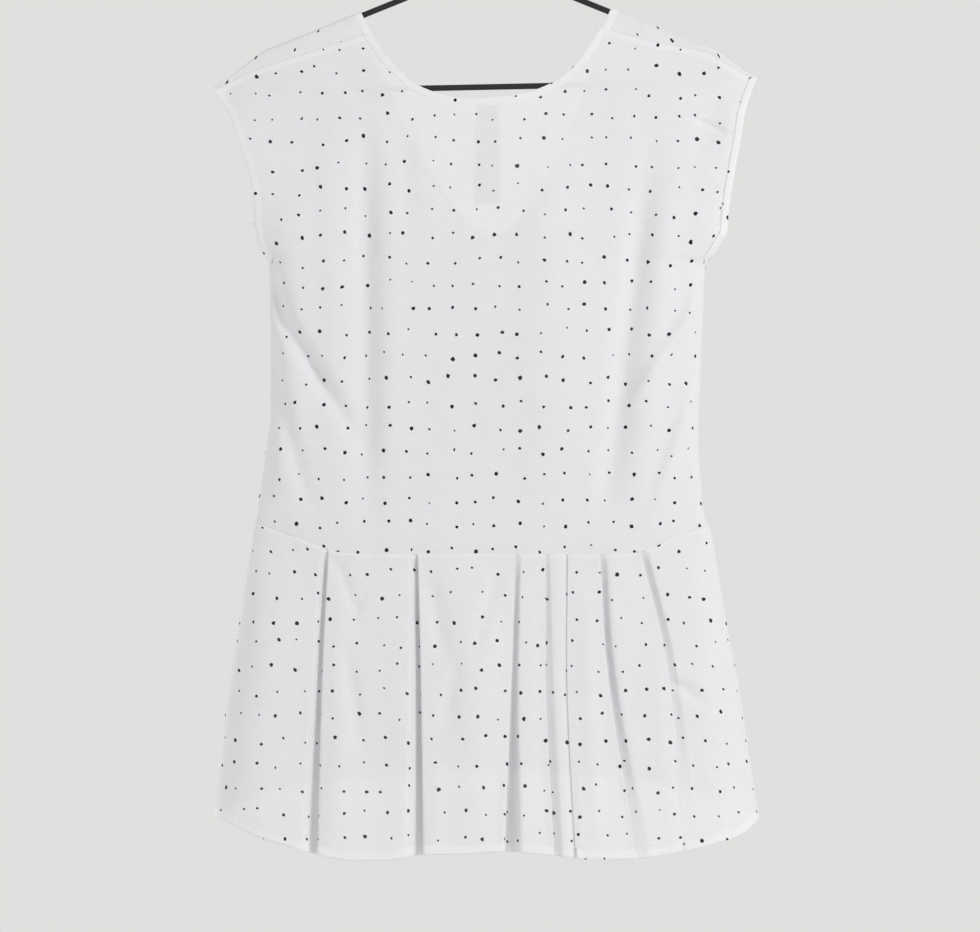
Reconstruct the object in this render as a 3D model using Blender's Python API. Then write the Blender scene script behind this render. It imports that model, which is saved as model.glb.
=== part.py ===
"""Sleeveless top on a wire hanger, with a dropped waist seam and a pleated peplum that is longer at the back.

The garment's back faces -Y, so it is the side that a viewer looking along +Y sees. X runs to the viewer's
right and +Z up. The origin is the inner top of the hanger's hook, where a rail carries it. Lengths in the
tables are millimetres, and a drop is a distance below the origin. Each panel is a sheet of cloth with a wall:
its outer surface is worked out from the outline, the depth and the folds, and the wall lies inside that.
"""

import math

import bmesh
import bpy
import numpy as np

MM = 0.001

CLOTH_WALL = 1.0
BINDING_WALL = 0.8
LABEL_WALL = 0.6
SEAM_GAP = 0.3
SHOULDER_GAP = 0.5
WAIST_GAP = 0.8
BACK = -1
FRONT = 1

WIRE_RADIUS = 2.8
WIRE_CLEARANCE = 0.5
APEX_X = 3.3
APEX_DROP = 72.0
APEX_BEND = 14.0
ARM_ANGLE = math.radians(22)
ARM_REACH = 206.0
LEFT_END_BEND = 19.6
RIGHT_END_BEND = 15.4
HOOK_RADIUS = 22.0
HOOK_FOOT_ANGLE = math.radians(60)
HOOK_TIP_ANGLE = math.radians(190)
COLLAR_RADIUS = 4.6
COLLAR_HEIGHT = 16.0

WRAP_RADIUS = WIRE_RADIUS + WIRE_CLEARANCE + CLOTH_WALL
WRAP_RADIUS_AT_CAP = 1.6
WRAP_TAPER = 32.0
HANGER_LEFT_END = -219.0
HANGER_RIGHT_END = 223.0
RIDGE_EASE = 55.0
BOW_POWER = 2.6
FOLD_END = 0.12

BINDING_WIDTH = 8.0
ARMHOLE_END = 356.0
UNDERARM_START = 300.0
EDGE_TURN = 3.0

# drop, x of the left edge: armhole, side seam, peplum side
LEFT_SIDE = (
    (190, -260),
    (204, -251),
    (223, -242),
    (243, -235),
    (268, -227),
    (294, -222),
    (326, -220.5),
    (341, -217.5),
    (357, -208),
    (420, -207),
    (503, -207),
    (526, -210),
    (565, -215),
    (603, -220.5),
    (657, -229),
    (741, -243),
    (833, -255.5),
    (881, -260),
)

# drop, x of the right edge
RIGHT_SIDE = (
    (178.5, 256.5),
    (212, 245),
    (239, 240.5),
    (271, 234.5),
    (307, 229),
    (327, 227.5),
    (336, 223),
    (349, 215),
    (357, 208),
    (391, 206),
    (447, 203.5),
    (522, 201),
    (560, 203),
    (598, 207),
    (607, 211),
    (654, 220),
    (705, 229),
    (762, 240),
    (814, 247.5),
    (884, 258.5),
)

# drop, half gap at the armhole edge, half depth of the back, half depth of the front
DEPTHS = (
    (100, 4.0, 5, 5),
    (150, 4.0, 7, 7),
    (190, 3.0, 11, 10),
    (215, 6.5, 14, 12),
    (250, 11.0, 18, 16),
    (290, 12.0, 22, 19),
    (325, 8.0, 25, 21),
    (348, 3.0, 26, 22),
    (ARMHOLE_END, SEAM_GAP / 2, 27, 22),
    (480, SEAM_GAP / 2, 30, 26),
    (631, SEAM_GAP / 2, 28, 26),
    (700, SEAM_GAP / 2, 35, 32),
    (800, SEAM_GAP / 2, 44, 40),
    (925, SEAM_GAP / 2, 51, 46),
)

# x, drop of the shoulder's top edge past each end of the hanger's arms
LEFT_CAP = ((-260, 190), (-240, 175.4), (-221, 160.6), (-213, 155.2), (-205, 151))
RIGHT_CAP = ((202, 147), (210, 149.8), (216, 153), (229, 162), (242, 171.2), (256.5, 179.5))

# x, drop of the seam that joins the front's shoulder to the back, on the back's side of the hanger
LEFT_SHOULDER_SEAM = ((-260, 192.2), (-220, 172.9), (-187, 161.9), (-111, 137.7))
RIGHT_SHOULDER_SEAM = ((107.5, 132), (159.6, 146.3), (190, 152), (209, 156.5), (229, 168), (256.5, 184))

# x, drop of the back neckline
BACK_NECKLINE = (
    (-111, 137.7),
    (-105.5, 145.8),
    (-94, 162.4),
    (-83, 173.8),
    (-70.3, 185.2),
    (-55, 192.8),
    (-38, 197.9),
    (-15, 200.2),
    (12.4, 198.7),
    (31, 196.1),
    (49.4, 191.2),
    (68.4, 181.4),
    (83.6, 168.1),
    (96.9, 149.6),
    (107.5, 132),
)

# x, drop of the front neckline, a deep rounded V that the back hides
FRONT_NECKLINE = (
    (-111, 118),
    (-98, 170),
    (-76, 226),
    (-48, 276),
    (-20, 316),
    (4, 328),
    (28, 317),
    (55, 276),
    (80, 226),
    (97, 170),
    (107.5, 116),
)
NECK_LEAN = 0.45
NECK_LEAN_FROM = 138.0
NECK_LEAN_REACH = 0.4

# x, drop of the waist seam
BACK_WAIST = (
    (-221, 603.5),
    (-185, 615),
    (-148, 629),
    (-105, 633),
    (105, 633),
    (148, 629.5),
    (180, 616),
    (211, 608),
)
FRONT_WAIST = ((-221, 603.5), (-175, 615), (-120, 626), (0, 630), (120, 626), (170, 616), (211, 608))

# x, drop of the hem
BACK_HEM = (
    (-260, 881),
    (-238, 890),
    (-217, 899.5),
    (-195, 906),
    (-160, 916),
    (-129, 921),
    (-97, 921),
    (-60, 915.5),
    (-21, 914.8),
    (15, 912.5),
    (59, 916),
    (103, 920),
    (128, 920),
    (159, 917.5),
    (190, 912),
    (222, 904.5),
    (244, 896.5),
    (258.5, 884),
)
FRONT_HEM = (
    (-260, 881),
    (-225, 866),
    (-180, 853),
    (-100, 846),
    (0, 840),
    (100, 846),
    (180, 855),
    (225, 868),
    (258.5, 884),
)

# x and drop at the top, x and drop at the bottom, half width, height out of the panel (in if negative)
BACK_FOLDS = (
    (-143, 225, -138, 590, 19, 6.0),
    (-107, 235, -106, 600, 15, -7.0),
    (-70, 230, -66, 560, 24, 3.0),
    (42, 215, 48, 560, 30, 4.0),
    (134, 262, 131, 600, 10, -6.5),
    (156, 262, 152, 600, 13, 4.0),
    (-206, 352, -131, 520, 12, -6.0),
    (-203, 425, -170, 575, 11, -4.0),
    (205, 392, 160, 480, 9, 4.5),
    (199, 478, 152, 600, 8, 4.0),
    (212, 190, 209, 268, 12, -4.0),
    (-150, 170, -118, 215, 22, -3.0),
)
FRONT_FOLDS = (
    (-150, 240, -146, 585, 20, 5.5),
    (-108, 330, -104, 600, 16, -6.0),
    (-52, 345, -50, 590, 22, 3.5),
    (6, 350, 2, 600, 16, -5.0),
    (62, 345, 58, 570, 24, 4.0),
    (118, 300, 120, 600, 14, -6.0),
    (158, 250, 154, 590, 15, 4.5),
    (-204, 362, -140, 530, 12, -5.0),
    (204, 368, 150, 520, 12, -5.0),
)
PEPLUM_FOLDS = (
    (-195, 640, -212, 900, 24, 5.0),
    (-124, 650, -122, 930, 16, 3.5),
    (-30, 650, -22, 930, 22, 5.0),
    (-8, 640, -45, 930, 9, -2.5),
    (170, 640, 205, 915, 18, 4.0),
)

# side its folded edge faces; x of the edge at the seam, a third of the way down and at the hem;
# width turned under at the seam and at the hem; depth between layers at the hem;
# width over which the cloth under it comes forward again
BACK_PLEATS = (
    (-1, -150, -155, -160, 12, 10, 6.5, 15),
    (-1, -65.5, -63, -60, 12, 13, 7.0, 15),
    (1, 27.5, 24, 17, 10, 9, 7.5, 15),
    (1, 58, 60, 59, 8, 7, 6.0, 6),
    (-1, 75, 73.5, 80, 8, 7, 6.0, 6),
    (1, 110, 119, 131, 11, 10, 7.0, 15),
    (1, 148, 176, 205, 10, 6, 4.0, 15),
)
FRONT_PLEATS = (
    (-1, -120, -124, -136, 14, 12, 6.5, 15),
    (-1, -52, -54, -60, 14, 12, 6.5, 15),
    (1, 46, 49, 56, 14, 12, 6.5, 15),
    (1, 118, 123, 137, 14, 12, 6.5, 15),
)
LAYER_PITCH = 2.4
PLEAT_RAMP = 15.0
UNDER_REACH = 1.0
SIDE_STEPS = 4

# left x, right x, top drop and bottom drop
NECK_LABEL = (-10.5, 11.5, 206, 224.5)
CARE_LABEL = (-12.5, 12, 225.2, 301)

SHOULDER_COLUMNS = 8
NECK_COLUMNS = 14
BACK_ROWS = 24
FRONT_ROWS = 20
WRAP_ROWS = 5
FAR_WRAP_DROPS = (0.0, 0.8, 2.4, 5.0, 10.0)
PEPLUM_ROWS = 11
TURN_POINTS = 4
WIRE_SIDES = 8

WHITE_COTTON = (0.80, 0.81, 0.82)
WHITE_BINDING = (0.86, 0.86, 0.86)
LABEL_WHITE = (0.74, 0.75, 0.76)
BLACK_WIRE = (0.015, 0.015, 0.016)


def clear_scene():
    for thing in list(bpy.data.objects):
        bpy.data.objects.remove(thing, do_unlink=True)


def material(name, colour, roughness, metallic=0.0):
    made = bpy.data.materials.new(name)
    made.use_nodes = True
    shader = made.node_tree.nodes["Principled BSDF"]
    shader.inputs["Base Color"].default_value = (*colour, 1)
    shader.inputs["Roughness"].default_value = roughness
    shader.inputs["Metallic"].default_value = metallic
    return made


def curve_through(table, column=1):
    """The smooth function from a table's first column to another one, which never overshoots its rows."""
    at = np.array([row[0] for row in table], float)
    value = np.array([row[column] for row in table], float)
    slope = np.diff(value) / np.diff(at)
    tangent = np.concatenate([slope[:1], (slope[1:] + slope[:-1]) / 2, slope[-1:]])
    steepest = 3 * np.minimum(np.abs(slope[1:]), np.abs(slope[:-1]))
    tangent[1:-1] = np.sign(tangent[1:-1]) * np.minimum(np.abs(tangent[1:-1]), steepest)
    tangent[1:-1][slope[1:] * slope[:-1] <= 0] = 0

    def read(x):
        x = np.clip(x, at[0], at[-1])
        i = np.clip(np.searchsorted(at, x, side="right") - 1, 0, len(at) - 2)
        step = at[i + 1] - at[i]
        u = (x - at[i]) / step
        start = value[i] * (1 + 2 * u) * (1 - u) ** 2 + tangent[i] * step * u * (1 - u) ** 2
        end = value[i + 1] * u**2 * (3 - 2 * u) + tangent[i + 1] * step * u**2 * (u - 1)
        return start + end

    return read


left_edge = curve_through(LEFT_SIDE)
right_edge = curve_through(RIGHT_SIDE)
edge_gap = curve_through(DEPTHS, 1)
half_depth = {BACK: curve_through(DEPTHS, 2), FRONT: curve_through(DEPTHS, 3)}
left_cap = curve_through(LEFT_CAP)
right_cap = curve_through(RIGHT_CAP)
left_shoulder_seam = curve_through(LEFT_SHOULDER_SEAM)
right_shoulder_seam = curve_through(RIGHT_SHOULDER_SEAM)
back_neckline = curve_through(BACK_NECKLINE)
front_neckline = curve_through(FRONT_NECKLINE)
waist = {BACK: curve_through(BACK_WAIST), FRONT: curve_through(FRONT_WAIST)}
hem = {BACK: curve_through(BACK_HEM), FRONT: curve_through(FRONT_HEM)}


def smooth_step(u):
    u = np.clip(u, 0, 1)
    return u * u * (3 - 2 * u)


def ridge(x):
    """Drop of the top of the shoulder: over the hanger's arm, then down to the cap's tip past its end."""
    over_arm = APEX_DROP + np.abs(x - APEX_X) * math.tan(ARM_ANGLE) - WRAP_RADIUS / math.cos(ARM_ANGLE)
    past_left = np.where(x < LEFT_CAP[-1][0], left_cap(x), over_arm)
    return np.where(x > RIGHT_CAP[0][0], right_cap(x), past_left)


def wrap_radius(x):
    """Radius at which the cloth turns over the shoulder: the wire's, then a sharper fold in the cap."""
    past = np.maximum(HANGER_LEFT_END - x, x - HANGER_RIGHT_END) / WRAP_TAPER
    return WRAP_RADIUS + (WRAP_RADIUS_AT_CAP - WRAP_RADIUS) * smooth_step(past)


def fold_height(folds, x, drop):
    """Height that the soft folds add: each is a rounded ridge or trough that fades at both ends."""
    height = np.zeros(np.broadcast(x, drop).shape)
    for top_x, top, bottom_x, bottom, half_width, rise in folds:
        along = (drop - top) / (bottom - top)
        middle = top_x + (bottom_x - top_x) * along
        fade = smooth_step((along + 0.12) / 0.4) * smooth_step((1.12 - along) / 0.4)
        height = height + rise * fade * np.exp(-(((x - middle) / half_width) ** 2))
    return height


def across(x, drop):
    """Where x lies between the two side edges at a drop, from -1 to 1."""
    left = left_edge(drop)
    right = right_edge(drop)
    return np.clip((2 * x - left - right) / (right - left), -1, 1)


def depth(side, folds, x, drop):
    """Distance of the cloth's outer surface from the plane of the hanger."""
    share = np.abs(across(x, drop))
    bow = np.sqrt(np.maximum(0, 1 - share**BOW_POWER))
    gap = edge_gap(drop)
    folded = fold_height(folds, x, drop) * smooth_step((1 - share) / FOLD_END)
    hanging = gap + (half_depth[side](drop) - gap) * bow + folded
    radius = wrap_radius(x)
    below = drop - ridge(x)
    turned = radius * np.sqrt(np.clip(1 - (1 - np.clip(below / radius, 0, 1)) ** 2, 0, 1))
    return turned + (hanging - radius) * smooth_step(below / RIDGE_EASE)


def outer_points(side, folds, x, drop, inset=0.0):
    y = side * (depth(side, folds, x, drop) - inset)
    return np.stack(np.broadcast_arrays(x, y, -drop), axis=-1)


def grid_normals(points, side):
    """Unit normals of a grid of points, out of the garment. Rows run down and columns to the right."""
    down = np.gradient(points, axis=0)
    right = np.gradient(points, axis=1)
    normal = np.cross(down, right) * -side
    return normal / np.maximum(np.linalg.norm(normal, axis=2, keepdims=True), 1e-9)


def squared_side_seams(points, normals):
    """Turns the normals of both edge columns sideways where the front and the back meet."""
    turned = normals.copy()
    for column, outwards in ((0, -1), (-1, 1)):
        drop = -points[:, column, 2]
        sideways = 1 - smooth_step(edge_gap(drop) / EDGE_TURN)
        sideways = np.where(drop > UNDERARM_START, sideways, 0)[:, None]
        blend = normals[:, column] * (1 - sideways) + np.array([outwards, 0, 0]) * sideways
        turned[:, column] = blend / np.linalg.norm(blend, axis=1, keepdims=True)
    return turned


def sheet_solid(name, points, normals, wall, finish, side, present=None):
    """A closed solid whose outer surface has the points. present says which cells of the grid are there."""
    rows, columns = points.shape[:2]
    if present is None:
        present = np.ones((rows - 1, columns - 1), bool)
    outer = points.reshape(-1, 3)
    inner = (points - normals * wall).reshape(-1, 3)
    count = len(outer)
    faces = []
    edges = {}
    for i, j in zip(*np.nonzero(present)):
        corner = i * columns + j
        loop = (corner, corner + columns, corner + columns + 1, corner + 1)
        loop = loop if side == BACK else (loop[2], loop[1], loop[0], loop[3])
        for triangle in ((loop[0], loop[1], loop[2]), (loop[0], loop[2], loop[3])):
            faces.append(triangle)
            faces.append(tuple(k + count for k in reversed(triangle)))
        for a, b in zip(loop, loop[1:] + loop[:1]):
            if (b, a) in edges:
                del edges[b, a]
            else:
                edges[a, b] = True
    faces.extend((b, a, a + count, b + count) for a, b in edges)
    used = sorted({k for face in faces for k in face})
    place = {old: new for new, old in enumerate(used)}
    stacked = np.concatenate([outer, inner])[used] * MM
    mesh = bpy.data.meshes.new(name)
    mesh.from_pydata(stacked.tolist(), [], [[place[k] for k in face] for face in faces])
    mesh.update()
    mesh.shade_smooth()
    mesh.set_sharp_from_angle(angle=math.radians(50))
    mesh.materials.append(finish)
    made = bpy.data.objects.new(name, mesh)
    bpy.context.scene.collection.objects.link(made)
    return made


def spaced(start, end, count, crowd_start=0.0, crowd_end=0.0):
    """Values from start to end, closer together at an end with more crowding."""
    u = np.linspace(0, 1, count + 1)
    toward_start = u**2
    toward_end = 1 - (1 - u) ** 2
    share = u * (1 - crowd_start - crowd_end) + toward_start * crowd_start + toward_end * crowd_end
    return start + (end - start) * share


def panel_columns():
    """x at the shoulder of each column of a bodice panel, and the indexes of the two neck points."""
    first = LEFT_CAP[0][0]
    last = RIGHT_CAP[-1][0]
    neck_left = BACK_NECKLINE[0][0]
    neck_right = BACK_NECKLINE[-1][0]
    left = spaced(first + BINDING_WIDTH, neck_left - BINDING_WIDTH, SHOULDER_COLUMNS - 2)
    neck = spaced(neck_left, neck_right, NECK_COLUMNS, 0.25, 0.25)
    right = spaced(neck_right + BINDING_WIDTH, last - BINDING_WIDTH, SHOULDER_COLUMNS - 2)
    x = np.concatenate([[first], left, neck, right, [last]])
    return x, SHOULDER_COLUMNS, SHOULDER_COLUMNS + NECK_COLUMNS


def column_x(shoulder_x, drop):
    """x at a drop of the column that starts at shoulder_x: columns close in with the side edges."""
    first = LEFT_CAP[0][0]
    last = RIGHT_CAP[-1][0]
    share = (shoulder_x - first) / (last - first)
    left = left_edge(drop)
    x = left + (right_edge(drop) - left) * share
    lean = NECK_LEAN * np.maximum(0, NECK_LEAN_FROM - drop)
    for neck_x, way in ((BACK_NECKLINE[0][0], -1), (BACK_NECKLINE[-1][0], 1)):
        near = np.maximum(0, 1 - np.abs(shoulder_x - neck_x) / (NECK_LEAN_REACH * last))
        x = x + way * lean * near
    return x


def drop_where(curve, shoulder_x):
    """Drop at which a column meets a curve given as a drop for each x."""
    drop = curve(shoulder_x)
    for _ in range(6):
        drop = curve(column_x(shoulder_x, drop))
    return drop


def shoulder_seam(x):
    return np.where(x < 0, left_shoulder_seam(x), right_shoulder_seam(x))


def strip_drops(top, x, neck_left, neck_right, beside):
    """How far below a panel's top the first row lies: the binding's width, square to the neckline."""
    reach = np.full(len(x), float(beside))
    neck = slice(neck_left, neck_right + 1)
    slope = np.gradient(top[neck], x[neck])
    reach[neck] = BINDING_WIDTH * np.sqrt(1 + np.minimum(np.abs(slope), 2.5) ** 2)
    return reach


def back_panel_grid():
    columns, neck_left, neck_right = panel_columns()
    index = np.arange(len(columns))
    neck = (index > neck_left) & (index < neck_right)
    seam_top = drop_where(shoulder_seam, columns) + SHOULDER_GAP / 2
    top = np.where(neck, drop_where(back_neckline, columns), seam_top)
    bottom = drop_where(waist[BACK], columns) - WAIST_GAP / 2
    first = top + strip_drops(top, column_x(columns, top), neck_left, neck_right, BINDING_WIDTH / 2)
    share = (np.arange(BACK_ROWS) / (BACK_ROWS - 1)) ** 1.15
    drop = np.vstack([top, first + (bottom - first) * share[:, None]])
    points = outer_points(BACK, BACK_FOLDS, column_x(columns, drop), drop)
    return points, squared_side_seams(points, grid_normals(points, BACK)), neck_left, neck_right


def front_panel_grid():
    """The front panel, which runs over the hanger's arms to the shoulder seam on the garment's back."""
    columns, neck_left, neck_right = panel_columns()
    index = np.arange(len(columns))
    neck = (index > neck_left) & (index < neck_right)
    seam_top = drop_where(shoulder_seam, columns) - SHOULDER_GAP / 2
    top = drop_where(ridge, columns)
    rise = (1 - np.arange(WRAP_ROWS) / WRAP_ROWS) ** 1.8
    near_drop = top + np.maximum(seam_top - top, 0.4) * rise[:, None]
    near = outer_points(BACK, BACK_FOLDS, column_x(columns, near_drop), near_drop)
    far_drop = top + np.array(FAR_WRAP_DROPS[:-1])[:, None]
    far = outer_points(FRONT, FRONT_FOLDS, column_x(columns, far_drop), far_drop)
    wrap = np.vstack([near, far])
    start = np.where(neck, drop_where(front_neckline, columns), top + FAR_WRAP_DROPS[-1])
    bottom = drop_where(waist[FRONT], columns) - WAIST_GAP / 2
    first = start + strip_drops(start, column_x(columns, start), neck_left, neck_right, BINDING_WIDTH / 2)
    share = (np.arange(FRONT_ROWS) / (FRONT_ROWS - 1)) ** 1.8
    drop = np.vstack([start, first + (bottom - first) * share[:, None]])
    hang = outer_points(FRONT, FRONT_FOLDS, column_x(columns, drop), drop)
    points = np.vstack([wrap, hang])
    present = np.ones((len(points) - 1, len(columns) - 1), bool)
    present[: len(wrap), neck_left:neck_right] = False
    normals = grid_normals(points, FRONT)
    normals[len(wrap) :, neck] = grid_normals(hang, FRONT)[:, neck]
    normals[:, neck_left] = grid_normals(points[:, neck_left - 1 : neck_left + 1], FRONT)[:, 1]
    normals[:, neck_right] = grid_normals(points[:, neck_right : neck_right + 2], FRONT)[:, 0]
    return points, squared_side_seams(points, normals), present, neck_left, neck_right


def turn(middle_x, middle_layer, way, radius):
    """Points round a folded edge, as x and layer: half a turn from one layer to the next."""
    angles = np.linspace(0, math.pi, TURN_POINTS)
    return [(middle_x + way * radius * math.sin(a), middle_layer - 0.5 * math.cos(a)) for a in angles]


def pleat_section(pleat, t):
    """x and inset of the points round one pleat, from left to right, at a share t of the way to the hem."""
    faces, seam_x, third_x, hem_x, seam_width, hem_width, hem_pitch, ramp = pleat
    edge = float(curve_through(((0, seam_x), (0.35, third_x), (1, hem_x)))(t))
    width = seam_width + (hem_width - seam_width) * t
    pitch = LAYER_PITCH + (hem_pitch - LAYER_PITCH) * smooth_step(t)
    radius = min(pitch / 2, width * 0.3)
    over = [(edge - faces * PLEAT_RAMP, 0), (edge - faces * 2.2 * radius, 0)]
    outer = turn(edge - faces * radius, 0.5, faces, radius)
    inner = turn(edge - faces * (width - radius), 1.5, -faces, radius)
    under = [(edge + faces * UNDER_REACH, 2), (edge + faces * ramp, 2 * (1 - ramp / PLEAT_RAMP))]
    run = [(x, layer * pitch) for x, layer in (*over, *outer, *inner, *under)]
    return run if faces > 0 else run[::-1]


def peplum_section(pleats, t, left, right):
    """x and inset of the points across the peplum at a share t of the way from the seam to the hem."""
    runs = [pleat_section(pleat, t) for pleat in pleats]
    section = [(x, 0.0) for x in spaced(left, runs[0][0][0], SIDE_STEPS, 0.5, 0)[:-1]]
    for run, following in zip(runs, runs[1:]):
        section += run
        (x, inset), (next_x, next_inset) = run[-1], following[0]
        section += [(x + (next_x - x) * s, inset + (next_inset - inset) * s) for s in (1 / 3, 2 / 3)]
    section += runs[-1]
    section += [(x, 0.0) for x in spaced(runs[-1][-1][0], right, SIDE_STEPS, 0, 0.5)[1:]]
    return np.array(section).T


def peplum_grid(side, folds, pleats):
    shares = spaced(0, 1, PEPLUM_ROWS)
    left_drops = BACK_WAIST[0][1], BACK_HEM[0][1]
    right_drops = BACK_WAIST[-1][1], BACK_HEM[-1][1]
    sections = []
    for t in shares:
        left = left_edge(left_drops[0] + (left_drops[1] - left_drops[0]) * t)
        right = right_edge(right_drops[0] + (right_drops[1] - right_drops[0]) * t)
        sections.append(peplum_section(pleats, t, left, right))
    x = np.array([section[0] for section in sections])
    inset = np.array([section[1] for section in sections])
    top = waist[side](x[0]) + WAIST_GAP / 2
    bottom = hem[side](x[-1])
    drop = top + (bottom - top) * shares[:, None]
    points = outer_points(side, folds, x, drop, inset)
    points[:, [0, -1], 1] = side * SEAM_GAP / 2
    return points, squared_side_seams(points, grid_normals(points, side))


def binding(name, points, normals, finish, side, present=None):
    """A strip that lies on a panel's edge: the panel's own points, moved out past the gap."""
    lifted = points + normals * (SEAM_GAP + BINDING_WALL)
    return sheet_solid(name, lifted, normals, BINDING_WALL, finish, side, present)


def label(name, box, finish):
    """A blank label on the inside of the back."""
    left, right, top, bottom = box
    x = np.linspace(left, right, 4)[None, :]
    drop = np.linspace(top, bottom, 6)[:, None]
    points = outer_points(BACK, BACK_FOLDS, x, drop)
    normals = grid_normals(points, BACK)
    return sheet_solid(name, points - normals * (CLOTH_WALL + SEAM_GAP), normals, LABEL_WALL, finish, BACK)


def wire(name, route, closed, finish):
    """A round wire along a route of x and drop, in the plane of the hanger."""
    curve = bpy.data.curves.new(name, "CURVE")
    curve.dimensions = "3D"
    curve.bevel_depth = WIRE_RADIUS * MM
    curve.bevel_resolution = (WIRE_SIDES - 4) // 2
    curve.use_fill_caps = not closed
    line = curve.splines.new("POLY")
    line.points.add(len(route) - 1)
    for point, (x, drop) in zip(line.points, route):
        point.co = (x * MM, 0, -drop * MM, 1)
    line.use_cyclic_u = closed
    curve.materials.append(finish)
    made = bpy.data.objects.new(name, curve)
    bpy.context.scene.collection.objects.link(made)
    return made


def arc(centre, radius, start, end, steps):
    angles = np.linspace(start, end, steps + 1)
    return [(centre[0] + radius * math.cos(a), centre[1] + radius * math.sin(a)) for a in angles]


def end_bend(radius):
    """The turn from an arm's end back into the bar, from the top of the turn to its foot."""
    arm_end = (ARM_REACH, APEX_DROP + ARM_REACH * math.tan(ARM_ANGLE))
    centre = (arm_end[0] - radius * math.sin(ARM_ANGLE), arm_end[1] + radius * math.cos(ARM_ANGLE))
    return arc(centre, radius, ARM_ANGLE - math.pi / 2, math.pi / 2, 8)


def hanger_loop():
    """x and drop along the arms, the two end bends and the bar, once round from the apex."""
    apex_centre = (0, APEX_DROP + APEX_BEND / math.cos(ARM_ANGLE))
    half_apex = arc(apex_centre, APEX_BEND, -math.pi / 2, ARM_ANGLE - math.pi / 2, 3)
    middle = (ARM_REACH / 2, APEX_DROP + ARM_REACH / 2 * math.tan(ARM_ANGLE))
    right = [*half_apex, middle, *end_bend(RIGHT_END_BEND)]
    left = [*half_apex[1:], middle, *end_bend(LEFT_END_BEND)]
    return [(APEX_X + u, drop) for u, drop in right] + [(APEX_X - u, drop) for u, drop in left[::-1]]


def make_hook(collar_finish, hook_finish):
    """The collar on the top of the loop, and the hook that rises from it and ends past its highest point."""
    loop_top = APEX_DROP + APEX_BEND / math.cos(ARM_ANGLE) - APEX_BEND - WIRE_RADIUS
    collar_base = loop_top - SEAM_GAP
    collar_top = collar_base - COLLAR_HEIGHT
    make_collar(collar_base - COLLAR_HEIGHT / 2, collar_finish)
    centre = (0, HOOK_RADIUS - WIRE_RADIUS)
    bend = arc(centre, HOOK_RADIUS, HOOK_FOOT_ANGLE, -HOOK_TIP_ANGLE, 20)
    foot = (APEX_X, collar_top - SEAM_GAP)
    corner = (APEX_X, bend[0][1] + 4)
    stem = [
        tuple((1 - s) ** 2 * a + 2 * s * (1 - s) * b + s * s * c for a, b, c in zip(foot, corner, bend[0]))
        for s in np.linspace(0, 1, 6)[:-1]
    ]
    wire("hanger_hook", [*stem, *bend], False, hook_finish)


def make_collar(middle_drop, finish):
    mesh = bpy.data.meshes.new("hanger_collar")
    shape = bmesh.new()
    bmesh.ops.create_cone(
        shape,
        cap_ends=True,
        segments=20,
        radius1=COLLAR_RADIUS * MM,
        radius2=COLLAR_RADIUS * MM,
        depth=COLLAR_HEIGHT * MM,
    )
    shape.to_mesh(mesh)
    shape.free()
    mesh.shade_smooth()
    mesh.set_sharp_from_angle(angle=math.radians(40))
    mesh.materials.append(finish)
    collar = bpy.data.objects.new("hanger_collar", mesh)
    collar.location = (APEX_X * MM, 0, -middle_drop * MM)
    bpy.context.scene.collection.objects.link(collar)


def cells(rows, columns, chosen):
    """A grid's mask with the cells of each (first row, end row, first column, end column) present."""
    mask = np.zeros((rows - 1, columns - 1), bool)
    for top, bottom, left, right in chosen:
        mask[top:bottom, left:right] = True
    return mask


def make_bindings(prefix, points, normals, side, neck_cells):
    """The bias strips round the neckline and down both armholes of one panel."""
    rows, columns = points.shape[:2]
    end = int(np.sum(-points[:, 0, 2] < ARMHOLE_END)) - 1
    for name, chosen in (
        ("neck", neck_cells),
        ("left_armhole", [(0, end, 0, 1)]),
        ("right_armhole", [(0, end, columns - 2, columns - 1)]),
    ):
        full = f"{prefix}_{name}_binding"
        finish = material(full, WHITE_BINDING, 0.85)
        binding(full, points, normals, finish, side, cells(rows, columns, chosen))


def main():
    clear_scene()
    points, normals, neck_left, neck_right = back_panel_grid()
    sheet_solid("back_bodice", points, normals, CLOTH_WALL, material("back_bodice", WHITE_COTTON, 0.85), BACK)
    make_bindings("back", points, normals, BACK, [(0, 1, neck_left, neck_right)])
    label("neck_label", NECK_LABEL, material("neck_label", LABEL_WHITE, 0.7))
    label("care_label", CARE_LABEL, material("care_label", LABEL_WHITE, 0.7))

    points, normals, present, neck_left, neck_right = front_panel_grid()
    finish = material("front_bodice", WHITE_COTTON, 0.85)
    sheet_solid("front_bodice", points, normals, CLOTH_WALL, finish, FRONT, present)
    turned = WRAP_ROWS + len(FAR_WRAP_DROPS) - 1
    round_neck = [
        (0, turned, neck_left - 1, neck_left),
        (0, turned, neck_right, neck_right + 1),
        (turned, turned + 1, neck_left - 1, neck_right + 1),
    ]
    make_bindings("front", points, normals, FRONT, round_neck)

    for name, side, folds, pleats in (
        ("back_peplum", BACK, PEPLUM_FOLDS, BACK_PLEATS),
        ("front_peplum", FRONT, (), FRONT_PLEATS),
    ):
        points, normals = peplum_grid(side, folds, pleats)
        sheet_solid(name, points, normals, CLOTH_WALL, material(name, WHITE_COTTON, 0.85), side)

    wire("hanger_frame", hanger_loop(), True, material("hanger_frame", BLACK_WIRE, 0.6, 0.3))
    make_hook(material("hanger_collar", BLACK_WIRE, 0.6, 0.3), material("hanger_hook", BLACK_WIRE, 0.6, 0.3))


main()
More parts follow.
